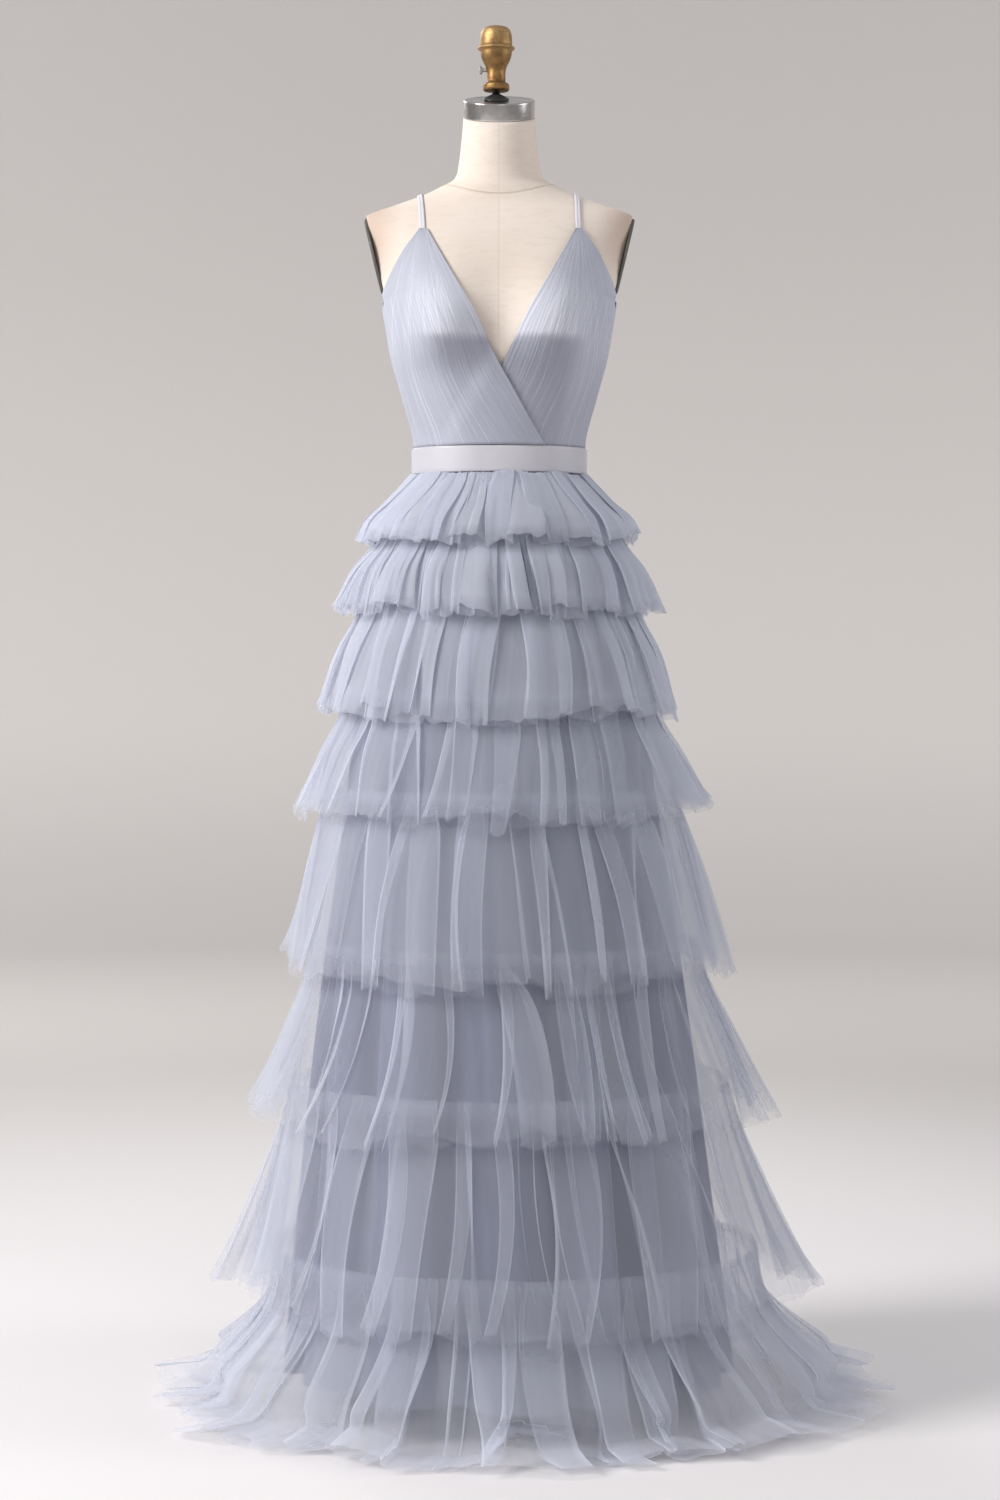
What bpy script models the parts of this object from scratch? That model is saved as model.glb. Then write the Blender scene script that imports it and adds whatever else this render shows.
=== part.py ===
"""Tiered tulle ball gown standing on a limbless dress form.

Metres, +Z up. The origin is the middle of the stand's foot, on the floor. The gown's
front faces -Y, and the wearer's left is +X.

The dress form is whole and smooth. Each cloth piece is a wall of its own, worked out
from tables of half widths and depths, and stands clear of what it lies on.
"""

import math

import bmesh
import bpy
import numpy as np
from mathutils import Matrix, Vector
from mathutils.bvhtree import BVHTree

# ---------------------------------------------------------------- driving sizes

SEAM = 0.0003  # gap between pieces that meet
CLOTH = 0.0012  # bodice wall, under its pleats
SATIN = 0.0015  # underskirt wall
TULLE = 0.0015  # wall of a gathered tulle tier
BAND_CLEAR = 0.0028  # from the form to the waistband
BAND_WALL = 0.0028  # doubled satin of the waistband

WAIST_TOP = 1.2340
WAIST_BOTTOM = 1.2000
WAIST_SIZE = (0.1085, 0.0850, 0.0840)  # half width, front and back of the form there
UNDERARM = 1.4300  # height of the side seams' upper ends
CUP_TIP = 1.5107  # height where a strap leaves its cup
BACK_DIP = 1.4050  # height of the back neckline at the centre
FORM_BOTTOM = 0.9300
NECK_TOP = 1.6650
NECK_TILT = math.radians(17)  # the neck's top leans forward

# Rings of the dress form: half width, depth to the front and to the back of the
# ring's own middle, where that middle lies, how far the ring tilts forward, and the
# exponent of its outline, 2 for an ellipse.
FORM_COLUMNS = ("z", "half_width", "front", "back", "middle", "tilt", "roundness")
FORM = (
    (0.930, 0.1500, 0.0920, 0.1120, 0.000, 0.00, 2.0),
    (0.960, 0.1620, 0.1010, 0.1230, 0.000, 0.00, 2.0),
    (1.000, 0.1660, 0.1030, 0.1250, 0.000, 0.00, 2.0),
    (1.060, 0.1540, 0.0985, 0.1140, 0.000, 0.00, 2.0),
    (1.130, 0.1280, 0.0900, 0.0950, 0.000, 0.00, 2.0),
    (1.190, 0.1090, 0.0850, 0.0835, 0.000, 0.00, 2.0),
    (1.235, 0.1085, 0.0850, 0.0830, 0.000, 0.00, 2.0),
    (1.300, 0.1230, 0.0900, 0.0920, 0.000, 0.00, 2.1),
    (1.350, 0.1370, 0.0940, 0.0990, 0.000, 0.00, 2.2),
    (1.400, 0.1460, 0.0960, 0.1050, 0.000, 0.00, 2.3),
    (1.440, 0.1530, 0.0940, 0.1070, 0.001, 0.00, 2.3),
    (1.490, 0.1700, 0.0860, 0.1030, 0.003, 0.00, 2.3),
    (1.520, 0.1800, 0.0750, 0.0930, 0.005, 0.00, 2.2),
    (1.538, 0.1735, 0.0640, 0.0790, 0.007, 0.00, 2.1),
    (1.552, 0.1360, 0.0580, 0.0680, 0.009, 0.02, 2.0),
    (1.566, 0.0980, 0.0560, 0.0620, 0.010, 0.05, 2.0),
    (1.581, 0.0690, 0.0540, 0.0560, 0.009, 0.12, 2.0),
    (1.600, 0.0575, 0.0500, 0.0510, 0.007, 0.17, 2.0),
    (1.630, 0.0510, 0.0475, 0.0480, 0.003, 0.24, 2.0),
    (1.665, 0.0465, 0.0455, 0.0455, 0.000, NECK_TILT, 2.0),
)

# Heights of the rows of points in the fronts of the bodice and in the form there.
BODICE_HEIGHTS = (
    1.2343, 1.268, 1.302, 1.330, 1.351, 1.370, 1.387, 1.403, 1.417, 1.430,
    1.4335, 1.443, 1.460, 1.484, 1.5107,
)
# The edge of a cup from the underarm to the strap: how far out it lies.
CUP_EDGE_COLUMNS = ("z", "x")
CUP_EDGE = (
    (1.4300, 0.1600),
    (1.4335, 0.1480),
    (1.4430, 0.1440),
    (1.4600, 0.1355),
    (1.4840, 0.1228),
    (1.5107, 0.1032),
)

BUST_SIDE = 0.0740  # from the middle to a bust point
BUST_HEIGHT = 1.3880
BUST_RISE = 0.0400
BUST_SPREAD = 0.0470

# The flat armholes of the form, and the oval plates that close them.
ARMHOLE_LOW, ARMHOLE_HIGH = 1.4320, 1.5420
ARMHOLE_LOW_X, ARMHOLE_HIGH_X = 0.1480, 0.1740
PLATE_HALF_HEIGHT, PLATE_HALF_DEPTH, PLATE_WALL = 0.0500, 0.0460, 0.0040

# Tiers, from the waist down, at the hem: its height, the half width out to the
# folds, the depth to the front and the back, how deep the folds are, how far the
# hem hangs below the seam of the next tier, and how many folds it has.
TIER_COLUMNS = (
    "hem", "half_width", "front", "back", "fold_depth", "overhang", "folds",
)
TIERS = (
    (1.110, 0.194, 0.166, 0.172, 0.018, 0.018, 12),
    (1.020, 0.215, 0.188, 0.198, 0.016, 0.025, 14),
    (0.888, 0.247, 0.218, 0.230, 0.020, 0.025, 16),
    (0.761, 0.281, 0.248, 0.264, 0.018, 0.025, 18),
    (0.560, 0.312, 0.278, 0.300, 0.018, 0.030, 20),
    (0.373, 0.357, 0.316, 0.345, 0.020, 0.038, 22),
    (0.144, 0.396, 0.350, 0.386, 0.028, 0.053, 24),
)
# The first tier's shoulder, where it has flared out from the waistband.
SHOULDER_Z, SHOULDER_SIZE = 1.160, (0.1470, 0.1200, 0.1230)
SHOULDER_FOLD = 0.0040  # depth of every tier's folds at its shoulder
NESTING = 0.0030  # from a tier's folds there to the troughs of the tier above
FLOOR_FOLDS = 25
# The last tier falls to the floor and spreads on it: its inner side, row by row.
FLOOR_COLUMNS = ("z", "half_width", "front", "back", "fold_depth")
FLOOR_TIER = (
    (0.045, 0.380, 0.332, 0.380, 0.018),
    (0.000, 0.410, 0.350, 0.420, 0.022),
    (0.000, 0.462, 0.372, 0.486, 0.030),
)
HEM_SAG = 0.004  # how much the hems of the tiers wander up and down
HEM_RISE = 0.005  # the hems rise this much at the sides and drop as much in front
TIER_CLEAR = 0.0042  # from the form at the waist to the first tier
SIDE_DRIFT = 0.028  # the hem lies this far towards the wearer's left
DRIFT_START = 0.900

UNDERSKIRT_COLUMNS = ("z", "half_width", "front", "back")
UNDERSKIRT = (
    (1.1997, 0.1101, 0.0866, 0.0856),
    (1.130, 0.1370, 0.0990, 0.1020),
    (1.050, 0.1650, 0.1100, 0.1250),
    (0.960, 0.1880, 0.1300, 0.1480),
    (0.600, 0.2450, 0.2000, 0.2150),
    (0.046, 0.3050, 0.2650, 0.2850),
)
UNDERSKIRT_POINTS = 18  # round one half

BODICE_PLEATS = 11  # in each front
PLEAT_RISE = 0.0011
BODICE_CLEAR = 0.0020  # from the form to the bodice

STRAP_WIDTH, STRAP_WALL = 0.0070, 0.0012
# Each strap's x at its cup, on the shoulder and on the back: wearer's right, left.
STRAP_X = {-1: (-0.0962, -0.1030, -0.0860), 1: (0.1012, 0.1000, 0.0860)}
NECK_MIDDLE = 0.0025  # the V of the neckline lies this far to the wearer's left
STRAP_POINTS = 18

ZIP_HALF = 0.0013  # half width of the zip's coil, between the two back panels
PULL_LENGTH, PULL_WALL = 0.0220, 0.0010
BAR_RADIUS, EYE_RADIUS, EYE_OUTER = 0.0007, 0.0011, 0.0022

CAP_RADIUS, CAP_HEIGHT = 0.0463, 0.0230
ROD_RADIUS, BORE_RADIUS = 0.0050, 0.0054
SCREW_RADIUS, SCREW_HOLE_RADIUS = 0.0024, 0.0029
SCREW_Z = 1.7270
FINIAL_BOTTOM = 1.6995
FINIAL_X = -0.0040  # the rod stands a little off the middle of the cap
# Outline of the finial, upwards from its bottom: height above it and radius.
FINIAL = (
    (0.0000, 0.0160), (0.0020, 0.0172), (0.0085, 0.0170), (0.0110, 0.0122),
    (0.0265, 0.0122), (0.0340, 0.0160), (0.0450, 0.0202), (0.0525, 0.0207),
    (0.0535, 0.0232), (0.0555, 0.0243), (0.0578, 0.0232), (0.0595, 0.0210),
    (0.0720, 0.0200), (0.0800, 0.0168), (0.0835, 0.0095), (0.0846, 0.0000),
)

POLE_RADIUS = 0.0150
FOOT_RADIUS, FOOT_HEIGHT = 0.1400, 0.0140
HUB_RADIUS, HUB_HEIGHT = 0.0300, 0.0450

# ---------------------------------------------------------------- tables and surfaces


def column(columns, rows, name):
    """One named column of a table, as an array."""
    return np.array([row[columns.index(name)] for row in rows], float)


def smooth(at, xs, ys):
    """A smooth curve through the points (xs, ys), xs rising: a cubic between each two
    points whose slope at a point is the weighted mean of its neighbours' slopes, and
    nought at a peak or a trough."""
    at = np.clip(np.asarray(at, float), xs[0], xs[-1])
    gaps = np.diff(xs)
    slopes = np.diff(ys) / gaps
    before, after = slopes[:-1], slopes[1:]
    inner = (before * gaps[1:] + after * gaps[:-1]) / (gaps[1:] + gaps[:-1])
    inner = np.where(before * after <= 0, 0.0, inner)
    tangent = np.concatenate([slopes[:1], inner, slopes[-1:]])
    i = np.clip(np.searchsorted(xs, at, side="right") - 1, 0, len(xs) - 2)
    t = (at - xs[i]) / gaps[i]
    return (
        ys[i] * (2 * t**3 - 3 * t**2 + 1)
        + ys[i + 1] * (3 * t**2 - 2 * t**3)
        + gaps[i] * tangent[i] * (t**3 - 2 * t**2 + t)
        + gaps[i] * tangent[i + 1] * (t**3 - t**2)
    )


def ease(t):
    """0 below 0, 1 above 1, and a soft step between."""
    t = np.clip(t, 0.0, 1.0)
    return t * t * (3 - 2 * t)


def form_ring(z, name):
    return smooth(z, column(FORM_COLUMNS, FORM, "z"), column(FORM_COLUMNS, FORM, name))


def armhole_x(z):
    """How far out the flat armhole lies at height z."""
    share = (z - ARMHOLE_LOW) / (ARMHOLE_HIGH - ARMHOLE_LOW)
    return ARMHOLE_LOW_X + share * (ARMHOLE_HIGH_X - ARMHOLE_LOW_X)


def form_point(angle, z):
    """The dress form's surface. angle runs from the wearer's left, 0, round by the
    back, a quarter turn, to the front, three quarters. Each ring is two half
    superellipses; two soft mounds are added in front, and the sides of the
    shoulders are cut flat."""
    angle, z = np.broadcast_arrays(np.asarray(angle, float), np.asarray(z, float))
    across, along = np.cos(angle), np.sin(angle)
    power = 2 / form_ring(z, "roundness")
    half_width = form_ring(z, "half_width")
    depth = np.where(along < 0, form_ring(z, "front"), form_ring(z, "back"))
    x = half_width * np.sign(across) * np.abs(across) ** power
    y = depth * np.sign(along) * np.abs(along) ** power
    for side in (-1, 1):
        away = ((x - side * BUST_SIDE) ** 2 + (z - BUST_HEIGHT) ** 2) / BUST_SPREAD**2
        y = y - BUST_RISE * np.exp(-away) * ease(-along * 1.6)
    flat = np.where((z > ARMHOLE_LOW - 0.006) & (z < ARMHOLE_HIGH), armhole_x(z), 1.0)
    x = np.clip(x, -flat, flat)
    rise = y * -np.tan(form_ring(z, "tilt")) * -1
    return np.stack([x, y + form_ring(z, "middle"), z + rise], axis=-1)


def normals(grid, ring):
    """Unit normals of a grid of points, rows by columns, facing away from the z axis.
    ring says that the columns close on themselves."""
    if ring:
        along = np.roll(grid, -1, axis=1) - np.roll(grid, 1, axis=1)
    else:
        along = np.gradient(grid, axis=1)
    down = np.gradient(grid, axis=0)
    normal = np.cross(along, down)
    normal /= np.maximum(np.linalg.norm(normal, axis=2, keepdims=True), 1e-12)
    outward = (normal[..., :2] * grid[..., :2]).sum(axis=2) + normal[..., 2] * 1e-6
    return normal * np.where(outward.mean() < 0, -1.0, 1.0)


def outline(angle, half_width, front, back, drift=0.0):
    """Points of a garment's plan outline: two half ellipses, moved sideways."""
    depth = np.where(np.sin(angle) < 0, front, back)
    return np.stack([half_width * np.cos(angle) + drift, depth * np.sin(angle)], axis=-1)


def side_drift(z):
    """How far the skirt has drifted sideways at height z."""
    return SIDE_DRIFT * np.clip(1 - np.asarray(z) / DRIFT_START, 0, 1) ** 1.3


# ---------------------------------------------------------------- Blender objects


def clear_scene():
    for obj in list(bpy.data.objects):
        bpy.data.objects.remove(obj, do_unlink=True)


def finish_material(name, colour, roughness, metallic=0.0):
    made = bpy.data.materials.new(name)
    made.use_nodes = True
    shader = made.node_tree.nodes["Principled BSDF"]
    shader.inputs["Base Color"].default_value = (*colour, 1.0)
    shader.inputs["Roughness"].default_value = roughness
    shader.inputs["Metallic"].default_value = metallic
    return made


def object_of(name, build, material, smooth_angle=math.radians(40)):
    """A named object from a bmesh, its faces turned outwards and shaded smooth."""
    bmesh.ops.recalc_face_normals(build, faces=build.faces)
    mesh = bpy.data.meshes.new(name)
    build.to_mesh(mesh)
    build.free()
    mesh.materials.append(material)
    mesh.shade_smooth()
    mesh.set_sharp_from_angle(angle=smooth_angle)
    obj = bpy.data.objects.new(name, mesh)
    bpy.context.scene.collection.objects.link(obj)
    return obj


def wall(name, inner, outer, material, ring=False):
    """A closed wall between two grids of points, rows by columns."""
    rows, columns = inner.shape[:2]
    build = bmesh.new()
    skins = [
        [[build.verts.new(point) for point in row] for row in skin]
        for skin in (inner, outer)
    ]
    last = columns if ring else columns - 1
    for skin in skins:
        for r in range(rows - 1):
            for c in range(last):
                d = (c + 1) % columns
                build.faces.new((skin[r][c], skin[r][d], skin[r + 1][d], skin[r + 1][c]))
    inside, outside = skins
    for r in (0, rows - 1):
        for c in range(last):
            d = (c + 1) % columns
            build.faces.new((inside[r][c], inside[r][d], outside[r][d], outside[r][c]))
    if not ring:
        for c in (0, columns - 1):
            for r in range(rows - 1):
                build.faces.new(
                    (inside[r][c], inside[r + 1][c], outside[r + 1][c], outside[r][c])
                )
    return object_of(name, build, material)


def loft(name, rings, material, smooth_angle=math.radians(40)):
    """A closed solid through rings of points, capped at both ends."""
    build = bmesh.new()
    made = [[build.verts.new(point) for point in ring] for ring in rings]
    for lower, upper in zip(made, made[1:]):
        for c in range(len(lower)):
            d = (c + 1) % len(lower)
            build.faces.new((lower[c], lower[d], upper[d], upper[c]))
    build.faces.new(made[0])
    build.faces.new(made[-1])
    return object_of(name, build, material, smooth_angle)


def disc(name, radius, height, place, material, sides=32, turn=None, bevel=0.0):
    """A round bar or plate standing on place, its rims bevelled."""
    build = bmesh.new()
    bmesh.ops.create_cone(
        build, cap_ends=True, segments=sides, radius1=radius, radius2=radius, depth=height
    )
    bmesh.ops.translate(build, vec=(0, 0, height / 2), verts=build.verts)
    if turn is not None:
        bmesh.ops.transform(build, matrix=turn, verts=build.verts)
    bmesh.ops.translate(build, vec=place, verts=build.verts)
    obj = object_of(name, build, material)
    if bevel:
        rounded = obj.modifiers.new("Rim", "BEVEL")
        rounded.width = bevel
        rounded.segments = 1
        rounded.limit_method = "ANGLE"
    return obj


def set_origin(obj, point):
    """Moves the object's origin to a point on its joint, its shape staying in place."""
    obj.data.transform(Matrix.Translation(-Vector(point)))
    obj.location = point


def cut(obj, cutter):
    """Takes the cutter's shape out of obj."""
    cutter.hide_render = True
    cutter.display_type = "WIRE"
    hole = obj.modifiers.new("Hole " + cutter.name, "BOOLEAN")
    hole.operation = "DIFFERENCE"
    hole.object = cutter
    hole.solver = "EXACT"


# ---------------------------------------------------------------- the dress form


def form_torso(linen):
    """The linen-covered body and neck, one closed shape. Its rings have more points
    in front, and lie closer together over the bust."""
    below = [z for z in column(FORM_COLUMNS, FORM, "z") if z < BODICE_HEIGHTS[0]]
    above = [z for z in column(FORM_COLUMNS, FORM, "z") if z > BODICE_HEIGHTS[-1]]
    between = [z for z in BODICE_HEIGHTS if z != 1.4335]
    heights = np.array([*below, *between, *above])
    back = np.linspace(0, math.pi, 16, endpoint=False)
    front = np.linspace(math.pi, 2 * math.pi, 24, endpoint=False)
    angles = np.concatenate([back, front])
    rings = [form_point(angles, z) for z in heights]
    loft("form_torso", rings, linen)


def arm_plate(side, painted):
    """An oval plate over the flat armhole, with a rounded rim."""
    slant = math.atan2(ARMHOLE_HIGH_X - ARMHOLE_LOW_X, ARMHOLE_HIGH - ARMHOLE_LOW)
    middle_z = (ARMHOLE_LOW + ARMHOLE_HIGH) / 2 - 0.001
    build = bmesh.new()
    bmesh.ops.create_cone(
        build, cap_ends=True, segments=28, radius1=1.0, radius2=0.94, depth=PLATE_WALL
    )
    size = Matrix.Diagonal((PLATE_HALF_HEIGHT, PLATE_HALF_DEPTH, 1.0, 1.0))
    place = Matrix.Translation(
        (side * (armhole_x(middle_z) + SEAM), 0.006, middle_z)
    )
    turn = Matrix.Rotation(side * (math.pi / 2 + slant), 4, "Y")
    lift = Matrix.Translation((0, 0, PLATE_WALL / 2 + SEAM))
    bmesh.ops.transform(build, matrix=place @ turn @ lift @ size, verts=build.verts)
    name = "arm_plate_left" if side > 0 else "arm_plate_right"
    object_of(name, build, painted)


def neck_cap(steel):
    """The round steel cap on the leaning top of the neck."""
    tilt = Matrix.Rotation(NECK_TILT, 4, "X")
    up = tilt @ Vector((0, 0, 1))
    place = Vector((0, 0, NECK_TOP)) + up * SEAM
    disc("neck_cap", CAP_RADIUS, CAP_HEIGHT, place, steel, 32, tilt, bevel=0.0012)
    return place + up * CAP_HEIGHT, tilt


def finial_rod(top, tilt, black):
    """The black washer on the cap and the rod that carries the finial, one turned piece:
    the washer's underside lies on the leaning cap and its rod stands upright."""
    sides = 16
    angles = np.linspace(0, 2 * math.pi, sides, endpoint=False)
    middle = top + (tilt @ Vector((0, 0, 1))) * SEAM
    slope = -math.tan(NECK_TILT) * -1

    def ring(radius, height, lean):
        x, y = radius * np.cos(angles), radius * np.sin(angles)
        z = middle.z + height + lean * (y - middle.y) * slope + lean * middle.y * slope
        return np.stack([x + FINIAL_X, y + middle.y, z], axis=-1)

    rings = [
        ring(0.0170, 0.0, 1.0),
        ring(0.0165, 0.0016, 1.0),
        ring(0.0090, 0.0052, 0.5),
        ring(ROD_RADIUS, 0.0075, 0.0),
    ]
    rings = [r - np.array([0, middle.y, 0]) * share for r, share in zip(rings, (0, 0, 0.6, 1))]
    upper = np.array(rings[-1])
    upper[:, 2] = SCREW_Z + 0.010
    loft("finial_rod", [*rings, upper], black)


def finial(gold):
    """The cast finial, turned from its outline, bored for the rod and the screw."""
    build = bmesh.new()
    points = [build.verts.new((FINIAL_X + r, 0, FINIAL_BOTTOM + h)) for h, r in FINIAL]
    points.insert(0, build.verts.new((FINIAL_X, 0, FINIAL_BOTTOM)))
    edges = [build.edges.new(pair) for pair in zip(points, points[1:])]
    bmesh.ops.spin(
        build,
        geom=[*points, *edges],
        cent=(FINIAL_X, 0, 0),
        axis=(0, 0, 1),
        angle=2 * math.pi,
        steps=16,
        use_merge=True,
    )
    bmesh.ops.remove_doubles(build, verts=build.verts, dist=0.00002)
    body = object_of("finial", build, gold)
    bore_top = SCREW_Z + 0.0115
    bore = disc(
        "rod_bore", BORE_RADIUS, bore_top - FINIAL_BOTTOM + 0.005,
        (FINIAL_X, 0, FINIAL_BOTTOM - 0.005), gold, 16,
    )
    hole = disc(
        "screw_hole", SCREW_HOLE_RADIUS, 0.020, (FINIAL_X - 0.002, 0, SCREW_Z), gold, 12,
        Matrix.Rotation(-math.pi / 2, 4, "Y"),
    )
    cut(body, bore)
    cut(body, hole)


def thumbscrew(zinc):
    """The screw in the finial's neck: a shank, a collar and a knurled head, turned on
    the X axis. Every second point of the head's rims is drawn in, for the knurls."""
    sides = 16
    angles = np.linspace(0, 2 * math.pi, sides, endpoint=False)
    knurl = np.where(np.arange(sides) % 2 == 0, 1.0, 0.88)
    profile = (
        (ROD_RADIUS + 0.0004, SCREW_RADIUS, False),
        (0.0172, SCREW_RADIUS, False),
        (0.0172, 0.0036, False),
        (0.0186, 0.0036, False),
        (0.0186, 0.0056, True),
        (0.0215, 0.0056, True),
    )
    rings = []
    for out, radius, knurled in profile:
        r = radius * (knurl if knurled else 1.0)
        rings.append(
            np.stack(
                [
                    np.full(sides, FINIAL_X - out),
                    r * np.cos(angles),
                    SCREW_Z + r * np.sin(angles),
                ],
                axis=-1,
            )
        )
    screw = loft("thumbscrew", rings, zinc)
    set_origin(screw, (FINIAL_X, 0, SCREW_Z))


def stand(steel, iron):
    """The pole under the form, its socket plate, and the round foot with its hub."""
    disc("foot", FOOT_RADIUS, FOOT_HEIGHT, (0, 0, 0), iron, 32, bevel=0.0030)
    disc("foot_hub", HUB_RADIUS, HUB_HEIGHT, (0, 0, FOOT_HEIGHT + SEAM), iron, 20)
    pole_from = FOOT_HEIGHT + HUB_HEIGHT + 2 * SEAM
    socket = 0.0120
    socket_from = FORM_BOTTOM - SEAM - socket
    disc("pole", POLE_RADIUS, socket_from - SEAM - pole_from, (0, 0, pole_from), steel, 20)
    disc("pole_socket", 0.0450, socket, (0, 0, socket_from), iron, 20)


# ---------------------------------------------------------------- the bodice


def angle_at(x, z, front=True):
    """The ring angle at which the form, in front or behind, has that x at height z."""
    share = np.clip(np.abs(x) / form_ring(z, "half_width"), 0, 1) ** (form_ring(z, "roundness") / 2)
    turn = np.arccos(share * np.sign(x))
    return -turn if front else turn


def neckline_x(z, side):
    """The slanting front edge of a cup: it crosses the middle on its way down."""
    share = (CUP_TIP - z) / (CUP_TIP - WAIST_TOP)
    return NECK_MIDDLE + side * (0.0945 - 0.1480 * share)


def cup_edge_x(z, side):
    """The outer edge of a cup above the underarm."""
    heights, out = (column(CUP_EDGE_COLUMNS, CUP_EDGE, c) for c in CUP_EDGE_COLUMNS)
    share = (z - UNDERARM) / (CUP_TIP - UNDERARM)
    return side * np.interp(z, heights, out) + NECK_MIDDLE * np.clip(share, 0, 1)


def front_grid(side, columns):
    """Grid angles and heights of a front: rows rise from the waist to the strap, and
    columns run from the side seam or armhole to the neckline."""
    z = np.array(BODICE_HEIGHTS)[:, None]
    seam = SEAM / 0.25
    at_side = angle_at(side * 1.0, z) + np.where(side > 0, -seam, seam)
    at_edge = angle_at(cup_edge_x(z, side), z)
    outer = np.where(z <= UNDERARM, at_side, at_edge)
    inner = angle_at(neckline_x(z, side), z)
    share = np.linspace(0, 1, columns)[None, :]
    return outer + (inner - outer) * share, z + 0 * share, share + 0 * z


def bodice_front(side, lies_over, cloth):
    """A gathered front. Its outer skin is raised into pleats that fan out from the
    strap to the waist; the front that wraps over is lifted clear of the other."""
    angle, z, share = front_grid(side, 2 * BODICE_PLEATS + 1)
    base = form_point(angle, z)
    out = normals(base, ring=False)
    clear = BODICE_CLEAR
    if lies_over:
        under_edge = neckline_x(z, -side)
        reach = side * (base[..., 0] - under_edge)
        lift = ease(1 - (reach - 0.004) / 0.030) * ease((1.375 - z) / 0.030)
        clear = clear + lift * (CLOTH + PLEAT_RISE + 0.0010)
    else:
        clear = clear + 0 * z
    ridge = np.where(np.arange(2 * BODICE_PLEATS + 1) % 2 == 0, 0.0, 1.0)[None, :]
    ridge = ridge * (0.35 + 0.65 * np.sin(math.pi * np.clip(z - WAIST_TOP, 0, 1) / 0.30))
    inner = base + out * clear[..., None]
    outer = inner + out * (CLOTH + PLEAT_RISE * ridge)[..., None]
    for skin in (inner, outer):
        skin[0, :, 2] = z[0]
        below = z[:, 0] <= UNDERARM
        skin[below, 0, 1] = -SEAM / 2
    name = "bodice_front_left" if side > 0 else "bodice_front_right"
    wall(name, inner, outer, cloth)


def back_top(angle):
    """Height of the back neckline: level with the underarm at the side seams and
    dipping softly to the centre."""
    return BACK_DIP + (UNDERARM - BACK_DIP) * np.abs(np.cos(angle)) ** 1.5


def bodice_back(side, cloth):
    """A plain back, from its side seam to the zip."""
    columns, rows = 13, 8
    at_zip = math.pi / 2 - side * (ZIP_HALF + SEAM) / 0.085
    at_side = (0 if side > 0 else math.pi) + side * SEAM / 0.25
    angle = np.linspace(at_side, at_zip, columns)[None, :]
    share = np.linspace(0, 1, rows)[:, None]
    low = WAIST_TOP + SEAM
    z = low + (back_top(angle) - low) * share
    angle = angle + 0 * z
    base = form_point(angle, z)
    out = normals(base, ring=False)
    base[:, -1, 0] = side * (ZIP_HALF + SEAM)
    inner = base + out * BODICE_CLEAR
    outer = inner + out * CLOTH
    for skin in (inner, outer):
        skin[:, -1, 0] = side * (ZIP_HALF + SEAM)
        skin[:, 0, 1] = SEAM / 2
        skin[0, :, 2] = low
    name = "bodice_back_left" if side > 0 else "bodice_back_right"
    wall(name, inner, outer, cloth)


def band_points(angle, clear):
    """Points of the waistband's ring, clear of the form, at its top and bottom."""
    return np.stack(
        [
            np.concatenate(
                [
                    outline(angle, *(np.array(WAIST_SIZE) + clear)),
                    np.full((len(angle), 1), z),
                ],
                axis=1,
            )
            for z in (WAIST_TOP, WAIST_BOTTOM)
        ]
    )


def waistband(satin):
    """The satin band: a front between the side seams, and two backs up to the zip."""
    gap = SEAM / 0.11 / 2
    at_zip = (ZIP_HALF + SEAM) / 0.1125
    runs = (
        ("waistband_front", -math.pi + gap, -gap, 25),
        ("waistband_back_left", gap, math.pi / 2 - at_zip, 13),
        ("waistband_back_right", math.pi / 2 + at_zip, math.pi - gap, 13),
    )
    for name, start, end, columns in runs:
        angle = np.linspace(start, end, columns)
        inner = band_points(angle, BAND_CLEAR)
        outer = band_points(angle, BAND_CLEAR + BAND_WALL)
        wall(name, inner, outer, satin)


# ---------------------------------------------------------------- straps and zip


def strap_path(form, side):
    """The strap's middle line on the form, from the cup's tip over the shoulder to the
    back neckline: points found along rays that fan out round a line inside the form."""
    start, end = math.radians(-2), math.radians(181)
    found = []
    for share in np.linspace(0, 1, 80):
        turn = start + (end - start) * share
        x = float(np.interp(share, (0.08, 0.48, 0.95), STRAP_X[side]))
        heading = Vector((0, -math.cos(turn), math.sin(turn)))
        middle = Vector((x, 0.004, 1.470))
        hit, normal, _, _ = form.ray_cast(middle + heading * 0.4, -heading)
        found.append((*hit, *normal))
    found = np.array(found)
    front, back = CUP_TIP + 0.0010, back_top(angle_at(STRAP_X[side][2], 1.42, False))
    top = int(found[:, 2].argmax())
    keep = np.ones(len(found), bool)
    keep[:top] = found[:top, 2] > front
    keep[top:] = found[top:, 2] > float(back) + 0.0010
    found = found[keep]
    along = np.concatenate([[0], np.cumsum(np.linalg.norm(np.diff(found[:, :3], axis=0), axis=1))])
    at = np.linspace(0, along[-1], STRAP_POINTS)
    return np.stack([np.interp(at, along, found[:, k]) for k in range(6)], axis=1)


def strap(form, side, satin):
    """A flat strap: its section is carried along the path, clear of the shoulder."""
    path = strap_path(form, side)
    middle, out = path[:, :3], path[:, 3:]
    along = np.gradient(middle, axis=0)
    along /= np.linalg.norm(along, axis=1, keepdims=True)
    across = np.cross(along, out)
    across /= np.linalg.norm(across, axis=1, keepdims=True)
    out = np.cross(across, along)
    clear, half = 0.0009, STRAP_WIDTH / 2
    inner = np.stack([middle + out * clear + across * w for w in (-half, 0.0, half)], axis=1)
    outer = inner + out[:, None, :] * STRAP_WALL
    outer[:, 1] += out * 0.0004
    name = "strap_left" if side > 0 else "strap_right"
    wall(name, inner, outer, satin)


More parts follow.
